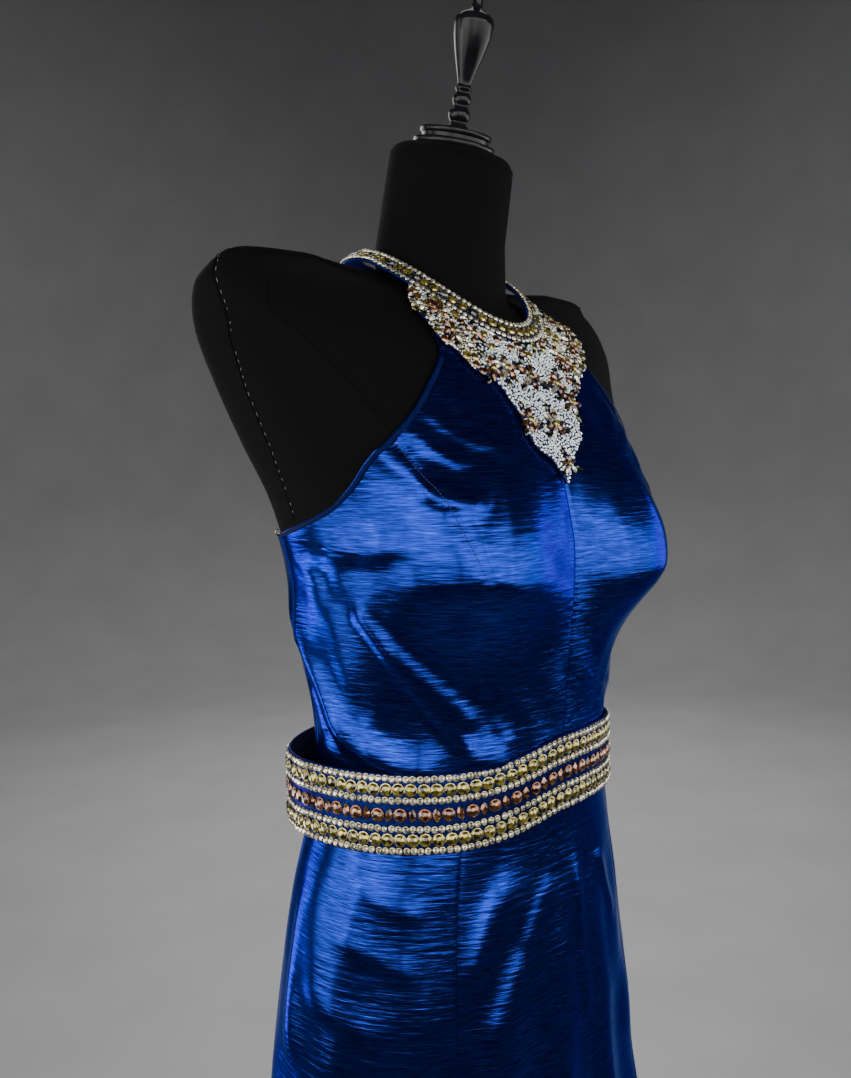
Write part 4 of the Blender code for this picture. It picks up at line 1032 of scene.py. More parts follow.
# Columns: from azimuth, from rise, to azimuth, to rise, width, height, bow
SKIRT_CREASES = (
    (-27, -0.040, -42, -0.125, 0.0100, 0.0024, 0.003),
    (-7, -0.052, -22, -0.108, 0.0095, 0.0019, 0.002),
    (-20, -0.095, -36, -0.165, 0.0105, 0.0020, 0.002),
    (-80, -0.050, -52, -0.072, 0.0060, 0.0010, 0.002),
    (-86, -0.088, -54, -0.112, 0.0070, 0.0012, -0.003),
    (-94, -0.126, -62, -0.150, 0.0080, 0.0010, 0.003),
    (-100, -0.060, -96, -0.200, 0.0080, 0.0022, 0.003),
    (6, -0.040, 9, -0.180, 0.0055, 0.0022, 0.002),
    (20, -0.050, 34, -0.120, 0.0060, 0.0018, -0.002),
    (54, -0.050, 84, -0.078, 0.0060, 0.0012, 0.002),
    (56, -0.096, 92, -0.120, 0.0075, 0.0012, 0.002),
    (102, -0.060, 98, -0.200, 0.0080, 0.0020, 0.003),
    (-150, -0.045, -140, -0.160, 0.0075, 0.0016, 0.003),
    (152, -0.045, 142, -0.160, 0.0075, 0.0016, 0.003),
    (-172, -0.120, -160, -0.260, 0.0090, 0.0016, 0.003),
    (170, -0.110, 160, -0.260, 0.0090, 0.0016, 0.003),
)


# Columns: name, first and last azimuth, flat size, area
SKIRT_PANELS = (
    ("skirt_front", -45, 45, (0.32, 0.46), 0.100),
    ("skirt_side_right", -112, -45, (0.24, 0.46), 0.085), ("skirt_side_left", 45, 112, (0.24, 0.46), 0.085),
    ("skirt_back_right", -180, -112, (0.24, 0.46), 0.076), ("skirt_back_left", 112, 180, (0.24, 0.46), 0.076),
)
SKIRT_COLUMNS_PER_DEGREE, SKIRT_ROWS = 1.5, 130


def skirt_cloth(azimuth, rise, out):
    near = turned(azimuth)
    fine = crease_reach(near, rise, SKIRT_CREASES) + ripple_reach(near, rise, SKIRT_RIPPLE)
    return skirt_point(azimuth, rise, out + fine * ease((-rise - SKIRT_FADE_UNDER) / SKIRT_FADE))


def build_skirt(material):
    for name, first, last, flat, area in SKIRT_PANELS:
        start, end = first + gap_degrees(SKIRT_REACH), last - gap_degrees(SKIRT_REACH)
        columns = int((last - first) * SKIRT_COLUMNS_PER_DEGREE)
        across, down = np.meshgrid(close_at_ends(columns), np.linspace(0, 1, SKIRT_ROWS))
        azimuth = blend(start, end, across)
        rise = blend(seam_rise(azimuth) - GAP / 2, -SKIRT_DROP, down)
        width = (end - start) * METRES_PER_DEGREE
        add_panel(name, azimuth, rise, skirt_cloth, across, width, material)


# The binding's section. Columns: how far in from the edge, and how high
BIND_SECTION = ((0.0, 0.0000), (0.0003, 0.0005), (0.0010, 0.0008), (0.0020, 0.0007), (0.0026, 0.0004),
                (0.0028, 0.0000))
BIND_INNER, BIND_OUTER, BIND_BESIDE, BIND_BELOW = 0.0003, 0.0004, 0.3, 0.0004


def build_bind(side, name, material):
    share = np.linspace(0.02, 0.89, 120)
    here, ahead = on_stops(ARMHOLE, share), on_stops(ARMHOLE, share + 0.01)
    run = np.stack([(ahead[:, 0] - here[:, 0]) * METRES_PER_DEGREE, ahead[:, 1] - here[:, 1]], axis=-1)
    length = np.linalg.norm(run, axis=-1)
    turn = -run[:, 1] / length / METRES_PER_DEGREE
    drop = run[:, 0] / length
    outer, inner = [], []
    for place, lift in BIND_SECTION:
        azimuth, rise = here[:, 0] - BIND_BESIDE + turn * place, here[:, 1] - BIND_BELOW + drop * place
        outer.append(bodice_point(side * azimuth, rise, BIND_OUTER + lift))
        inner.append(bodice_point(side * azimuth, rise, BIND_INNER))
    made = add_wall(name + "_rolled", np.array(outer), np.array(inner), material)
    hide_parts(name)


# Belt

# Each row's places as shares of the belt's height, the radius of its stones and their pitch
RHINESTONE_ROWS, RHINESTONE_RADIUS, RHINESTONE_PITCH = (0.055, 0.322, 0.678, 0.945), 0.0022, 0.0048
OLIVE_ROWS, OLIVE_RADIUS, OLIVE_PITCH = (0.188, 0.812), 0.0040, 0.0086
PEACH_ROW, PEACH_RADIUS, MARQUISE_RADIUS, PEACH_PITCH = 0.5, 0.0041, 0.0050, 0.0080
BELT_SHARES = np.array((0.0, 0.01, 0.05, 0.15, 0.30, 0.5, 0.70, 0.85, 0.95, 0.99, 1.0))
BELT_PAD, BELT_BULGE, BELT_EDGE_SHARE, BELT_SURFACE, BELT_COLUMNS = 0.0014, 0.0006, 0.06, 0.0020, 360


def build_belt_band(trim, inner_shade):
    azimuth, share = np.meshgrid(np.linspace(0, 360, BELT_COLUMNS + 1)[:-1], BELT_SHARES)
    bulge = BELT_PAD + BELT_BULGE * ease(np.minimum(share, 1 - share) / BELT_EDGE_SHARE)
    outer, inner = belt_point(azimuth, share, bulge), belt_point(azimuth, share, 0.0)
    band = add_wall("belt_band", outer, inner, trim, True)
    # The inner faces take the darker navy material: painted shade inside the belt.
    band.data.materials.append(inner_shade)
    first_inner = (len(BELT_SHARES) - 1) * BELT_COLUMNS
    for face in band.data.polygons:
        if first_inner <= face.index < 2 * first_inner:
            face.material_index = 1
    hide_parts("belt")


def set_stones(name, shape, origin, axes, rng, radius, material, setting):
    """A row of the belt's round stones, each turned at random, in their cups."""
    origin = origin + rng.normal(0, 0.00015, origin.shape)
    stones = spun(axes, rng.uniform(0, pi, len(origin)))
    scatter(name, shape, origin, stones, radius, material, "belt_stones")
    scatter(name + "_cups", CUP, origin - axes[:, 2] * 0.0002, axes, radius * 1.02, setting, "belt_stones")


def build_belt(trim, inner_shade, olive, peach, clear, gold, copper):
    build_belt_band(trim, inner_shade)
    rng = np.random.default_rng(3)
    for name, rows, pitch, shape, radius, material in (
            ("belt_rhinestones", RHINESTONE_ROWS, RHINESTONE_PITCH, BRILLIANT, RHINESTONE_RADIUS, clear),
            ("belt_olive_stones", OLIVE_ROWS, OLIVE_PITCH, RIVOLI, OLIVE_RADIUS, olive)):
        for row, share in enumerate(rows):
            origin, axes, _ = row_places(belt_point, outward_from, pitch, share, BELT_SURFACE)
            set_stones(f"{name}_{row}", shape, origin, axes, rng, radius, material, gold)
    origin, axes, _ = row_places(belt_point, outward_from, PEACH_PITCH, PEACH_ROW, BELT_SURFACE, 2)
    set_stones("belt_peach_rounds", RIVOLI, origin[0::2], axes[0::2], rng, PEACH_RADIUS, peach, copper)
    origin, axes = origin[1::2], axes[1::2]
    scatter("belt_peach_marquises", WIDE_NAVETTE, origin, spun(axes, rng.normal(0, 0.10, len(origin))),
            MARQUISE_RADIUS, peach, "belt_stones")


# Collar and yoke

COLLAR_SHARES = np.array((0.0, 0.02, 0.08, 0.2, 0.5, 0.8, 0.92, 0.98, 1.0))
COLLAR_EDGE, COLLAR_BULGE, COLLAR_EDGE_SHARE, COLLAR_COLUMNS = 0.0004, 0.0007, 0.12, 288
# Columns: name, share of the collar's height, pitch, radius
COLLAR_ROWS = (("inner", 0.10, 0.0043, 0.00205), ("outer", 0.90, 0.0044, 0.00195))
COLLAR_STONE_PITCH, COLLAR_STONE_RADIUS, COLLAR_CUP_RADIUS = 0.0078, 0.0034, 0.0035
COLLAR_NAVETTE_RADIUS = 0.0042
COLLAR_BEAD_TRIALS, COLLAR_BEAD_SPACING, COLLAR_BEAD_CLEARANCE = 30000, 0.0016, 0.0030
COLLAR_BEAD_SHARES, COLLAR_BEAD_SIZES = (0.215, 0.785), (0.00070, 0.00095)


def collar_outward(turn):
    return collar_frame(turn)[2]


def build_collar(trim, clear, yellow, dark, gold):
    turn, share = np.meshgrid(np.linspace(0, 360, COLLAR_COLUMNS + 1)[:-1], COLLAR_SHARES)
    bulge = COLLAR_BULGE * ease(np.minimum(share, 1 - share) / COLLAR_EDGE_SHARE)
    pad = COLLAR_THICKNESS + bulge - COLLAR_EDGE
    band = add_wall("collar_band", collar_point(turn, share, pad), collar_point(turn, share, 0.0), trim, True)
    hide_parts("collar")
    rng = np.random.default_rng(7)
    for name, share, pitch, size in COLLAR_ROWS:
        origin, axes, _ = row_places(collar_point, collar_outward, pitch, share, COLLAR_THICKNESS + 0.0002)
        stones = spun(axes, rng.uniform(0, pi, len(origin)))
        scatter(f"collar_rhinestones_{name}", BRILLIANT, origin, stones, size, clear, "collar_stones")
        scatter(f"collar_cups_{name}", CUP, origin, axes, size * 1.04, gold, "collar_stones")
    origin, axes, turn = row_places(collar_point, collar_outward, COLLAR_STONE_PITCH, 0.50,
                                    COLLAR_THICKNESS + 0.0004)
    golden = (np.arange(len(origin)) % 3 != 1) | (np.cos(np.radians(turn)) > 0.9)
    stones = spun(axes[golden], rng.uniform(0, pi, golden.sum()))
    scatter("collar_yellow_stones", RIVOLI, origin[golden], stones, COLLAR_STONE_RADIUS, yellow,
            "collar_stones")
    scatter("collar_yellow_cups", CUP, origin[golden], axes[golden], COLLAR_CUP_RADIUS, gold, "collar_stones")
    stones = spun(axes[~golden], rng.uniform(0.9, 2.2, (~golden).sum()))
    scatter("collar_dark_stones", NAVETTE, origin[~golden], stones, COLLAR_NAVETTE_RADIUS, dark,
            "collar_stones")
    turn = rng.uniform(0, 360, COLLAR_BEAD_TRIALS)
    share = rng.uniform(*COLLAR_BEAD_SHARES, COLLAR_BEAD_TRIALS)
    point = collar_point(turn, share, COLLAR_THICKNESS)
    away = np.sqrt(((point[:, None, :] - origin[None]) ** 2).sum(axis=2)).min(axis=1)
    free = np.flatnonzero(away > COLLAR_BEAD_CLEARANCE)
    chosen = free[thinned(point[free], COLLAR_BEAD_SPACING)]
    turn, share, point = turn[chosen], share[chosen], point[chosen]
    axes = surface_axes(lambda first, second: collar_point(first, second, COLLAR_THICKNESS), turn, share,
                        collar_outward(turn))
    axes, size = tipped(axes, rng), rng.uniform(*COLLAR_BEAD_SIZES, len(point))
    scatter("collar_seed_beads", SEED, point, axes, size, dark, "collar_stones", True)


def yoke_places(turn, share, out):
    origin = yoke_point(turn, share, out)
    outward = yoke_point(turn, share, out + 0.001) - origin
    return origin, surface_axes(lambda first, second: yoke_point(first, second, out), turn, share, outward)


def thinned(points, spacing):
    """The points that are kept, in order, so that no two are closer than the spacing."""
    cells, kept = {}, []
    for index, point in enumerate(points):
        cell = tuple((point // spacing).astype(int))
        near = (cells.get((cell[0] + i, cell[1] + j, cell[2] + k), ()) for i in (-1, 0, 1) for j in (-1, 0, 1)
                for k in (-1, 0, 1))
        if any(((points[other] - point) ** 2).sum() < spacing**2 for group in near for other in group):
            continue
        cells.setdefault(cell, []).append(index)
        kept.append(index)
    return np.array(kept)


def tipped(axes, rng, amount=0.35):
    """Axes tipped a little at random, so that small beads lie unevenly."""
    tip = axes + rng.normal(0, amount, axes.shape)
    tip[:, 0] = unit(tip[:, 0])
    tip[:, 1] = unit(np.cross(tip[:, 2], tip[:, 0]))
    tip[:, 2] = np.cross(tip[:, 0], tip[:, 1])
    return tip


# Columns: turn, share, radius. All but the last two stand where the solid yoke has its raised flowers.
FLOWERS = np.array((
    (-57, 0.50, 0.0070), (-46, 0.62, 0.0075), (-36, 0.30, 0.0070), (-30, 0.80, 0.0074), (-21, 0.46, 0.0080),
    (-12, 0.78, 0.0074), (-6, 0.30, 0.0084), (2, 0.60, 0.0080), (3, 0.92, 0.0062), (12, 0.42, 0.0076),
    (18, 0.76, 0.0078), (28, 0.36, 0.0070), (33, 0.72, 0.0078), (45, 0.50, 0.0078), (57, 0.56, 0.0070),
    (-51, 0.30, 0.0052), (52, 0.30, 0.0054),
))
FLOWER_SCALE, FLOWER_LIFT, PETAL_TILT = 1.36, 0.0008, 0.20
# Of a flower's radius: how far out its petals and leaves are, and the size of its petals, centre and leaves
PETAL_OUT, LEAF_OUT, PETAL_SIZE, CENTRE_SIZE, LEAF_SIZE = 0.60, 1.14, 0.47, 0.27, 0.42
LEAF_TURN, LEAF_START, LEAF_DROP, CENTRE_LIFT = 2.1, 0.5, 0.0004, 0.0009
RICH_FROM, RICH_TO = 26.0, 42.0
# The ground is thinner than the solid yoke, at its edge and inside it
YOKE_THIN_SHARES, YOKE_EDGE_SHARE = (0.35, 0.8), 0.05


def rich_share(turn):
    """How rich in gems and gold the yoke is at this turn, from 0 at its middle to 1 at its sides."""
    return ease((np.abs(turn) - RICH_FROM) / (RICH_TO - RICH_FROM))


def flower_places(rng):
    """Places (origin, axes, size) of the petals, pale petals, leaves and centres of all flowers."""
    petals, pale, leaves, centres = [], [], [], []
    for index, (at, level, radius) in enumerate(FLOWERS * (1.0, 1.0, FLOWER_SCALE)):
        (origin,), (axes,) = yoke_places(np.array([at]), np.array([level]),
                                         np.array([YOKE_THICKNESS + FLOWER_LIFT]))
        count = 5 + index % 2
        start = rng.uniform(0, 2 * pi)
        for petal in range(count):
            angle = start + 2 * pi * petal / count + rng.uniform(-0.12, 0.12)
            along = axes[0] * cos(angle) + axes[1] * sin(angle)
            lift = unit(axes[2] + along * PETAL_TILT)
            across = np.cross(along, lift)
            turned_axes = np.array([across, np.cross(lift, across), lift])
            place = (origin + along * radius * PETAL_OUT, turned_axes, radius * PETAL_SIZE)
            (pale if (petal + index) % 4 == 0 else petals).append(place)
        centres.append((origin + axes[2] * CENTRE_LIFT, axes, radius * CENTRE_SIZE))
        for leaf in range(3):
            angle = start + LEAF_TURN * leaf + LEAF_START
            along = axes[0] * cos(angle) + axes[1] * sin(angle)
            leaf_axes = np.array([np.cross(along, axes[2]), along, axes[2]])
            place = origin + along * radius * LEAF_OUT - axes[2] * LEAF_DROP
            leaves.append((place, leaf_axes, radius * LEAF_SIZE))
    return petals, pale, leaves, centres


GEM_TRIALS, GEM_SPACING, GEM_LIFT, GEM_REACH, GEM_CLEARANCE = 9000, 0.0057, 0.0003, 0.0030, 0.0010
# Columns: name, kinds, shape, size, material
GEMS = (
    ("peach_gems", (0, 1), RIVOLI, 0.0032, "peach"), ("yellow_gems", (2,), RIVOLI, 0.0033, "yellow"),
    ("dark_gems", (3,), NAVETTE, 0.0043, "dark"), ("clear_gems", (4,), NAVETTE, 0.0038, "clear"),
    ("bright_gems", (5,), BRILLIANT, 0.0025, "clear"),
)
BEAD_TRIALS, BEAD_SPACING, BEAD_CLEARANCE, BEAD_SIZES = 60000, 0.00170, 0.0004, (0.00092, 0.00114)
BEAD_SEAT, GOLD_SHARE = YOKE_THICKNESS * 0.7, 0.55


def rich_gems(rng):
    """Places of loose stones where the yoke meets the collar's sides, thick with gems."""
    turn, share = rng.uniform(-65, 65, GEM_TRIALS), rng.uniform(0.03, 0.97, GEM_TRIALS)
    wanted = rng.uniform(0, 1, GEM_TRIALS) < np.maximum(rich_share(turn), 0.9 * (share < 0.10))
    turn, share = turn[wanted], share[wanted]
    out = np.full(len(turn), YOKE_THICKNESS + GEM_LIFT)
    chosen = thinned(yoke_point(turn, share, out), GEM_SPACING)
    return yoke_places(turn[chosen], share[chosen], out[chosen])


def clear_of(origin, covered, reach, part):
    """How far each origin is from the nearest covered place, less this part of its reach."""
    return (np.linalg.norm(origin[:, None] - covered[None], axis=2) - reach[None] * part).min(axis=1)


def build_yoke(ground, beads, gold, stones):
    turns, shares = np.meshgrid(np.linspace(-YOKE_TURN, YOKE_TURN, 130), np.linspace(0, 1, 50))
    thick = YOKE_THICKNESS * blend(*YOKE_THIN_SHARES, ease(np.minimum(shares, 1 - shares) / YOKE_EDGE_SHARE))
    cloth = add_wall("yoke_ground", yoke_point(turns, shares, thick), yoke_point(turns, shares, 0.0), ground)
    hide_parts("yoke")
    rng = np.random.default_rng(21)
    flowers = flower_places(rng)
    names = ("yoke_petals", "yoke_pale_petals", "yoke_leaves", "yoke_centres")
    for name, places, kind in zip(names, flowers, ("peach", "clear", "dark", "yellow")):
        shape = BRILLIANT if name == "yoke_centres" else NAVETTE
        scatter(name, shape, *(np.array(column) for column in zip(*places)), stones[kind],
                "beaded_yoke")
    covered = np.array([place[0] for places in flowers for place in places])
    reach = np.array([place[2] for places in flowers for place in places])
    origin, axes = rich_gems(rng)
    free = clear_of(origin, covered, reach, 0.6) > GEM_CLEARANCE
    origin, axes = origin[free], axes[free]
    kind = rng.integers(0, 6, len(origin))
    spin = rng.uniform(0, pi, len(origin))
    for name, kinds, shape, size, stone_name in GEMS:
        picked = np.isin(kind, kinds)
        scatter("yoke_" + name, shape, origin[picked], spun(axes[picked], spin[picked]), size,
                stones[stone_name], "beaded_yoke")
    covered = np.concatenate([covered, origin])
    reach = np.concatenate([reach, np.full(len(origin), GEM_REACH)])
    turn, share = rng.uniform(-65.5, 65.5, BEAD_TRIALS), rng.uniform(0.02, 0.985, BEAD_TRIALS)
    out = np.full(len(turn), BEAD_SEAT)
    chosen = thinned(yoke_point(turn, share, out), BEAD_SPACING)
    origin, axes = yoke_places(turn[chosen], share[chosen], out[chosen])
    free = clear_of(origin, covered, reach, 0.55) > BEAD_CLEARANCE
    origin, axes, turn = origin[free], axes[free], turn[chosen][free]
    scale = rng.uniform(*BEAD_SIZES, len(origin))
    white = rng.uniform(0, 1, len(origin)) > GOLD_SHARE * rich_share(turn)
    tips = tipped(axes, rng)
    for name, picked, material in (("yoke_seed_beads", white, beads), ("yoke_gold_seeds", ~white, gold)):
        scatter(name, SEED, origin[picked], tips[picked], scale[picked], material, "beaded_yoke", True)


# Closed zip at the centre back

def zip_point(rise, shift, out):
    upper = np.abs(bodice_point(np.full_like(rise, 180.0), rise)[..., 1])
    lower = np.abs(skirt_point(np.full_like(rise, 180.0), rise)[..., 1])
    over = rise > seam_rise(180.0)
    reach = np.where(over, upper, lower)
    azimuth = 180 + np.degrees(shift / reach)
    return np.where(over[..., None], bodice_point(azimuth, rise, out), skirt_point(azimuth, rise, out))


ZIP_HALF_WIDTH, ZIP_TOP, ZIP_END, ZIP_TOOTH_PITCH = 0.0035, BACK_TOP_RISE - 0.0005, -0.15, 0.0014
TOOTH_SIZE, SLIDER_SIZE = (0.0022, 0.0006, 0.0007), (0.0040, 0.0020, 0.0070)
PULL_SIZE = (0.0030, 0.0008, 0.0130)
LEVEL_AXES = np.array(((1.0, 0.0, 0.0), (0.0, 1.0, 0.0), (0.0, 0.0, -1.0)))


def block(origin, size):
    """Points and faces of a small level block. Each size is the whole length along its axis."""
    corners = np.array([(x, y, z) for z in (-0.5, 0.5) for y in (-0.5, 0.5) for x in (-0.5, 0.5)]) * size
    faces = [[0, 2, 3, 1], [4, 5, 7, 6], [0, 1, 5, 4], [2, 6, 7, 3], [0, 4, 6, 2], [1, 3, 7, 5]]
    return origin + corners @ LEVEL_AXES, faces


def build_zip(trim, metal):
    over, under = seam_rise(180.0) + 0.0002, seam_rise(180.0) - 0.0002
    rises = np.concatenate([np.linspace(ZIP_TOP, over, 40), np.linspace(under, ZIP_END, 40)])
    rise, shift = np.meshgrid(rises, np.linspace(-ZIP_HALF_WIDTH, ZIP_HALF_WIDTH, 9), indexing="ij")
    ridge = 0.0011 - 0.0004 * np.abs(shift) / ZIP_HALF_WIDTH
    tape = add_wall("zip_tape", zip_point(rise, shift, ridge), zip_point(rise, shift, GAP), trim)
    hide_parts("zip_back")
    teeth = []
    for index, level in enumerate(np.arange(ZIP_TOP - 0.010, ZIP_END + 0.004, -ZIP_TOOTH_PITCH)):
        shift = np.array([0.0004 if index % 2 else -0.0004])
        teeth.append(block(zip_point(np.array([level]), shift, 0.0013)[0], TOOTH_SIZE))
    add_joined("zip_teeth", teeth, trim, False)
    head = zip_point(np.array([ZIP_TOP - 0.006]), np.array([0.0]), 0.0024)[0]
    pull = head + LEVEL_AXES[2] * 0.0110 + LEVEL_AXES[1] * 0.0012
    shapes = [block(head, SLIDER_SIZE), block(pull, PULL_SIZE)]
    add_joined("zip_slider_and_pull", shapes, metal, False)


# Small sewn things

HEM_STITCH_RISE, SIDE_PIPING_RADIUS = -0.4450, 0.00055
# Columns: length, gap, radius
HEM_STITCH, BELT_STITCH = (0.0030, 0.0050, 0.00016), (0.0022, 0.0016, 0.00016)
DART_STITCH = (0.0018, 0.0009, 0.00022)
HOOK_RADIUS, HOOK_AZIMUTH, HOOK_RISE = 0.0022, -103.2, 0.1868


def stitches(name, lines, material, stitch):
    """Dashes of thread along lines of points."""
    length, gap, radius = stitch
    shapes = []
    for line in lines:
        steps = np.concatenate([[0.0], np.cumsum(np.linalg.norm(np.diff(line, axis=0), axis=1))])
        for start in np.arange(gap, steps[-1] - length, length + gap):
            at = np.linspace(start, start + length, 3)
            dash = np.stack([np.interp(at, steps, line[:, axis]) for axis in range(3)], axis=-1)
            shapes.append(tube_shape(dash, radius, 5))
    add_joined(name, shapes, material)


def build_sewing(thread, trim, metal):
    azimuth = np.linspace(0, 360, 1200)
    hem = skirt_cloth(azimuth, np.full_like(azimuth, HEM_STITCH_RISE), 0.0001)
    stitches("hem_stitches", [hem], thread, HEM_STITCH)
    edges = [belt_point(azimuth, share, 0.0021) for share in (0.020, 0.980)]
    stitches("belt_edge_stitches", edges, thread, BELT_STITCH)
    darts, piping = [], []
    run = DARTS[:ARMHOLE_DART_LINES]
    run = np.array([run[0][:2]] + [line[2:] for line in run])
    for side in (-1, 1):
        stops = on_stops(run, np.linspace(0, 1, 60))
        darts.append(bodice_cloth(side * stops[:, 0], stops[:, 1], 0.0012))
        stops = on_stops(SIDE_SEAM, np.linspace(0.16, 0.995, 120))
        middle = bodice_cloth(side * stops[:, 0], stops[:, 1], 0.0003)
        piping.append(tube_shape(middle, SIDE_PIPING_RADIUS))
    stitches("dart_stitches", darts, thread, DART_STITCH)
    add_joined("side_piping", piping, trim)
    share = np.linspace(0, 1, 24)
    turn = share * 1.5 * pi
    middle = bodice_point(np.full_like(share, HOOK_AZIMUTH), np.full_like(share, HOOK_RISE), 0.0006)
    curl = [-HOOK_RADIUS * np.sin(turn), 0.0010 * share, HOOK_RADIUS * np.cos(turn) - 0.0008]
    add_joined("side_hook", [tube_shape(middle + np.stack(curl, axis=-1), 0.0004)], metal)


# Floor, light and camera

# The floor is level as far as FLOOR_LEVEL from the middle, then curves up into a backdrop
FLOOR_LEVEL, FLOOR_CURVE, FLOOR_SEGMENTS = 5.0, 2.0, 96


def build_floor():
    profile = [(1.0, 0.0), (3.0, 0.0), (FLOOR_LEVEL, 0.0)]
    for angle in range(9, 91, 9):
        angle = radians(angle)
        profile.append((FLOOR_LEVEL + FLOOR_CURVE * sin(angle), FLOOR_CURVE - FLOOR_CURVE * cos(angle)))
    profile.append((7.0, 7.0))
    turn = 2 * pi * np.arange(FLOOR_SEGMENTS) / FLOOR_SEGMENTS
    rings = np.array([np.stack([r * np.sin(turn), r * np.cos(turn), np.full_like(turn, z)], axis=-1)
                      for r, z in profile])
    faces = grid_quads(len(rings), FLOOR_SEGMENTS, True).tolist() + [list(range(FLOOR_SEGMENTS))[::-1]]
    made, tree, shader = new_material("studio_floor")
    grain = stretched_noise(tree, object_place(tree), (3, 3, 3), 4.0)
    colour = ramp(tree, grain, (0.3, (0.49, 0.49, 0.50)), (0.7, (0.54, 0.54, 0.55)))
    tree.links.new(colour, shader.inputs["Base Color"])
    set_inputs(shader, Roughness=0.75)
    mesh_object("studio_floor", rings.reshape(-1, 3), faces, made)


# Soft lights round the chest, left and right as the camera sees them: direction from the front and up,
# distance, size, and how bright the box looks from the chest. A grid on each keeps its light off the floor.
Softbox = namedtuple("Softbox", "name azimuth rise distance width height brightness")
SOFTBOXES = (
    Softbox("side", -86, 11, 1.60, 1.60, 1.34, 8.6),
    Softbox("front_left", -34, 10, 1.60, 1.40, 1.34, 8.2),
    Softbox("front_right", 8, 9, 1.60, 1.20, 1.30, 7.6),
    Softbox("right_front", 42, 0, 1.65, 1.00, 0.95, 5.6),
    Softbox("right", 72, 0, 1.70, 0.90, 0.90, 4.6),
    Softbox("side_back", -119, 0, 1.60, 0.70, 1.36, 6.8),
    Softbox("low_back", -154, -23, 1.60, 0.50, 0.68, 9.0),
    Softbox("back", 168, 20, 1.90, 1.40, 1.10, 3.0),
    Softbox("back_left", -140, 20, 1.90, 0.70, 0.90, 2.4),
)
CHEST = Vector((0.0, 0.0, 1.20))
GRID_ANGLE = radians(44)
# A light above the floor behind the figure, as the camera sees it
OVERHEAD_PLACE, OVERHEAD_AIM = Vector((1.7, 1.7, 4.2)), Vector((2.1, 2.1, 0.0))
OVERHEAD_SIZE, OVERHEAD_BRIGHTNESS, OVERHEAD_GRID = 2.8, 6.0, radians(52)
# Lights high over the figure that look outward at the backdrop, and whose grids keep them off the cloth
WASH_DIRECTIONS = (0, 90, 180, 270)
WASH_OUT, WASH_HEIGHT, WASH_SIZE, WASH_BRIGHTNESS, WASH_GRID = 2.2, 4.4, 1.6, 3.2, radians(58)
WASH_AIM_OUT, WASH_AIM_HEIGHT = 6.5, 1.6
WORLD_COLOUR, WORLD_STRENGTH = (0.80, 0.82, 0.86, 1.0), 0.022


def add_area_light(name, place, aim, width, height, brightness, grid):
    """A light that looks this bright along its axis, through a grid that cuts it off at this angle."""
    data = bpy.data.lights.new("light_" + name, "AREA")
    data.shape = "RECTANGLE"
    data.size, data.size_y = width, height
    data.spread = 2 * grid
    data.energy = brightness * pi * width * height * (1 - grid / tan(grid))
    light = link_new("light_" + name, data)
    light.location = place
    light.rotation_mode = "QUATERNION"
    light.rotation_quaternion = (aim - place).to_track_quat("-Z", "Y")
    light.visible_camera = False


def direction(azimuth, rise=0.0):
    turn, rise = radians(azimuth), radians(rise)
    return Vector((sin(turn) * cos(rise), -cos(turn) * cos(rise), sin(rise)))


def build_lights():
    for box in SOFTBOXES:
        place = CHEST + direction(box.azimuth, box.rise) * box.distance
        add_area_light(box.name, place, CHEST, box.width, box.height, box.brightness, GRID_ANGLE)
    add_area_light("overhead", OVERHEAD_PLACE, OVERHEAD_AIM, OVERHEAD_SIZE, OVERHEAD_SIZE,
                   OVERHEAD_BRIGHTNESS, OVERHEAD_GRID)
    for azimuth in WASH_DIRECTIONS:
        away = direction(azimuth)
        place, aim = away * WASH_OUT, away * WASH_AIM_OUT
        place.z, aim.z = WASH_HEIGHT, WASH_AIM_HEIGHT
        add_area_light(f"wash_{azimuth}", place, aim, WASH_SIZE, WASH_SIZE, WASH_BRIGHTNESS, WASH_GRID)
    world = bpy.data.worlds.new("studio")
    world.use_nodes = True
    set_inputs(world.node_tree.nodes["Background"], Color=WORLD_COLOUR, Strength=WORLD_STRENGTH)
    bpy.context.scene.world = world


# The camera's place and two of its axes, found by fitting the photograph's outline
IMAGE_WIDTH, FOCAL_PIXELS, SENSOR = 851, 960.5, 36.0
CAMERA_PLACE = (-0.5250, -0.5165, 1.2705)
CAMERA_RIGHT, CAMERA_AHEAD = (0.7239, -0.6895, -0.0233), (0.6873, 0.7238, -0.0616)


def build_camera():
    data = bpy.data.cameras.new("camera")
    data.sensor_width = SENSOR
    data.sensor_fit = "HORIZONTAL"
    data.lens = FOCAL_PIXELS / IMAGE_WIDTH * SENSOR
    data.clip_start, data.clip_end = 0.02, 60
    camera = link_new("camera", data)
    right, ahead = Vector(CAMERA_RIGHT).normalized(), Vector(CAMERA_AHEAD).normalized()
    up = right.cross(ahead).normalized()
    ahead = up.cross(right)
    axes = Matrix((right, up, -ahead)).transposed()
    camera.matrix_world = Matrix.Translation(CAMERA_PLACE) @ axes.to_4x4()
    bpy.context.scene.camera = camera


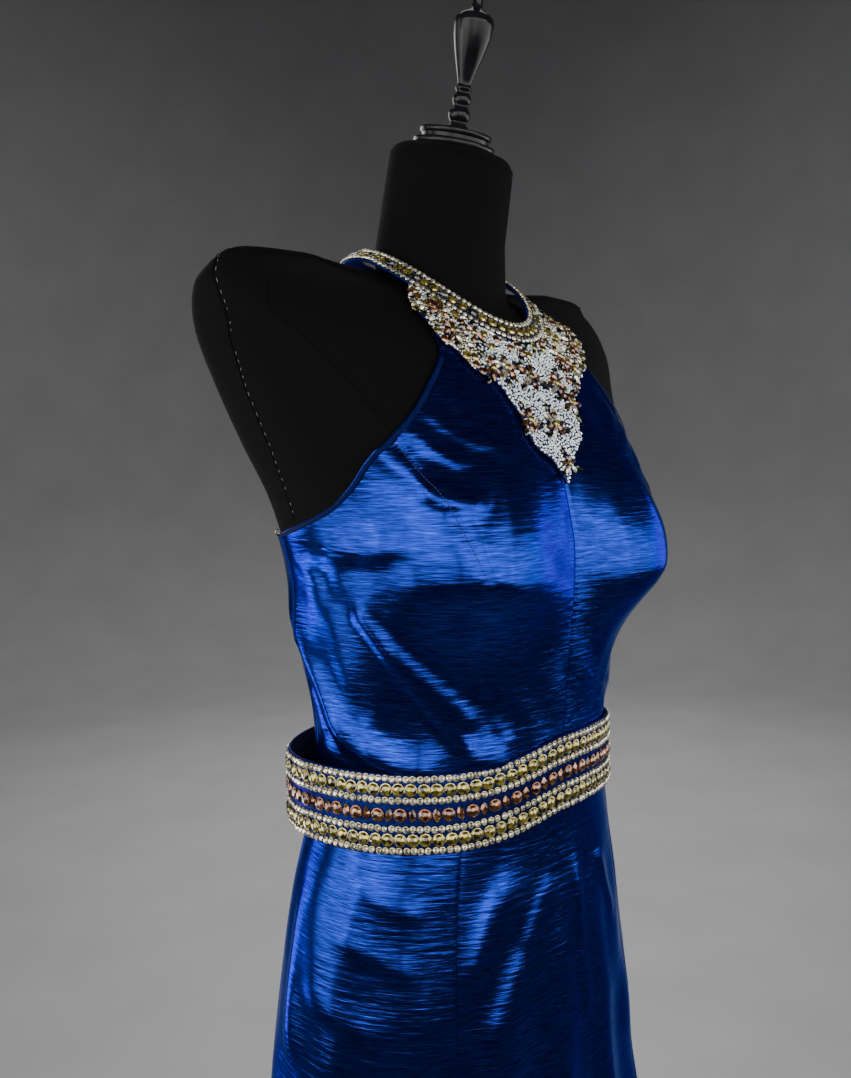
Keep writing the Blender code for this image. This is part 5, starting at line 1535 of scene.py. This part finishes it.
def main():
    cloth, knit = taffeta(), form_knit()
    trim = satin_trim("blue_satin", (0.0008, 0.0028, 0.036), (0.0040, 0.0125, 0.120), 0.85)
    binding = satin_trim("navy_binding", (0.0004, 0.0012, 0.012), (0.0012, 0.0034, 0.034), 0.0, 0.62, 0.06)
    belt_satin = satin_trim("belt_satin", (0.0004, 0.0012, 0.014), (0.0024, 0.0072, 0.074), 0.80)
    ground = satin_trim("navy_ground", (0.0010, 0.0018, 0.016), (0.0030, 0.0070, 0.060), 0.30)
    gloss = gloss_paint("black_gloss_fine", (0.003, 0.003, 0.0035), 0.14, 0.0, 0.0)
    metal = gloss_paint("stand_metal_fine", (0.030, 0.030, 0.032), 0.30, 0.85, 0.2)
    olive = stone("olive_stones", (0.0020, 0.0018, 0.0004), (0.28, 0.230, 0.034))
    peach = stone("peach_stones", (0.012, 0.003, 0.0010), (0.21, 0.086, 0.030))
    clear = stone("clear_stones", (0.12, 0.11, 0.08), (0.54, 0.50, 0.38), 0.14, 0.70)
    yellow = stone("yellow_stones", (0.03, 0.022, 0.002), (0.28, 0.215, 0.032))
    dark = stone("dark_stones", (0.001, 0.0012, 0.0005), (0.030, 0.030, 0.012))
    gold = setting_metal("setting_gold", (0.14, 0.11, 0.035), (0.40, 0.33, 0.13))
    copper = setting_metal("setting_copper", (0.10, 0.035, 0.015), (0.30, 0.12, 0.06))
    inner_shade, beads = painted_shade_cloth(), bead_glass()
    thread = plain_thread("pale_thread", (0.035, 0.035, 0.035), (0.110, 0.105, 0.100))
    navy_thread = plain_thread("navy_thread", (0.001, 0.003, 0.030), (0.004, 0.012, 0.110))
    build_form(knit)
    build_form_seams(knit, thread)
    build_neck_pieces(gloss)
    for name, material in (("form_plate", gloss), ("pole", metal), ("base", gloss)):
        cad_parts[name].data.materials.clear()
        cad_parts[name].data.materials.append(material)
    for build, part in ((build_front, "front"), (build_back, "back")):
        build(-1, part + "_right", cloth)
        build(1, part + "_left", cloth)
    build_skirt(cloth)
    build_bind(-1, "armhole_bind_right", binding)
    build_bind(1, "armhole_bind_left", binding)
    build_belt(belt_satin, inner_shade, olive, peach, clear, gold, copper)
    build_collar(trim, clear, yellow, dark, gold)
    build_yoke(ground, beads, gold, {"peach": peach, "yellow": yellow, "dark": dark, "clear": clear})
    build_zip(trim, gold)
    build_sewing(navy_thread, trim, gold)
    build_floor()
    build_lights()
    build_camera()


main()
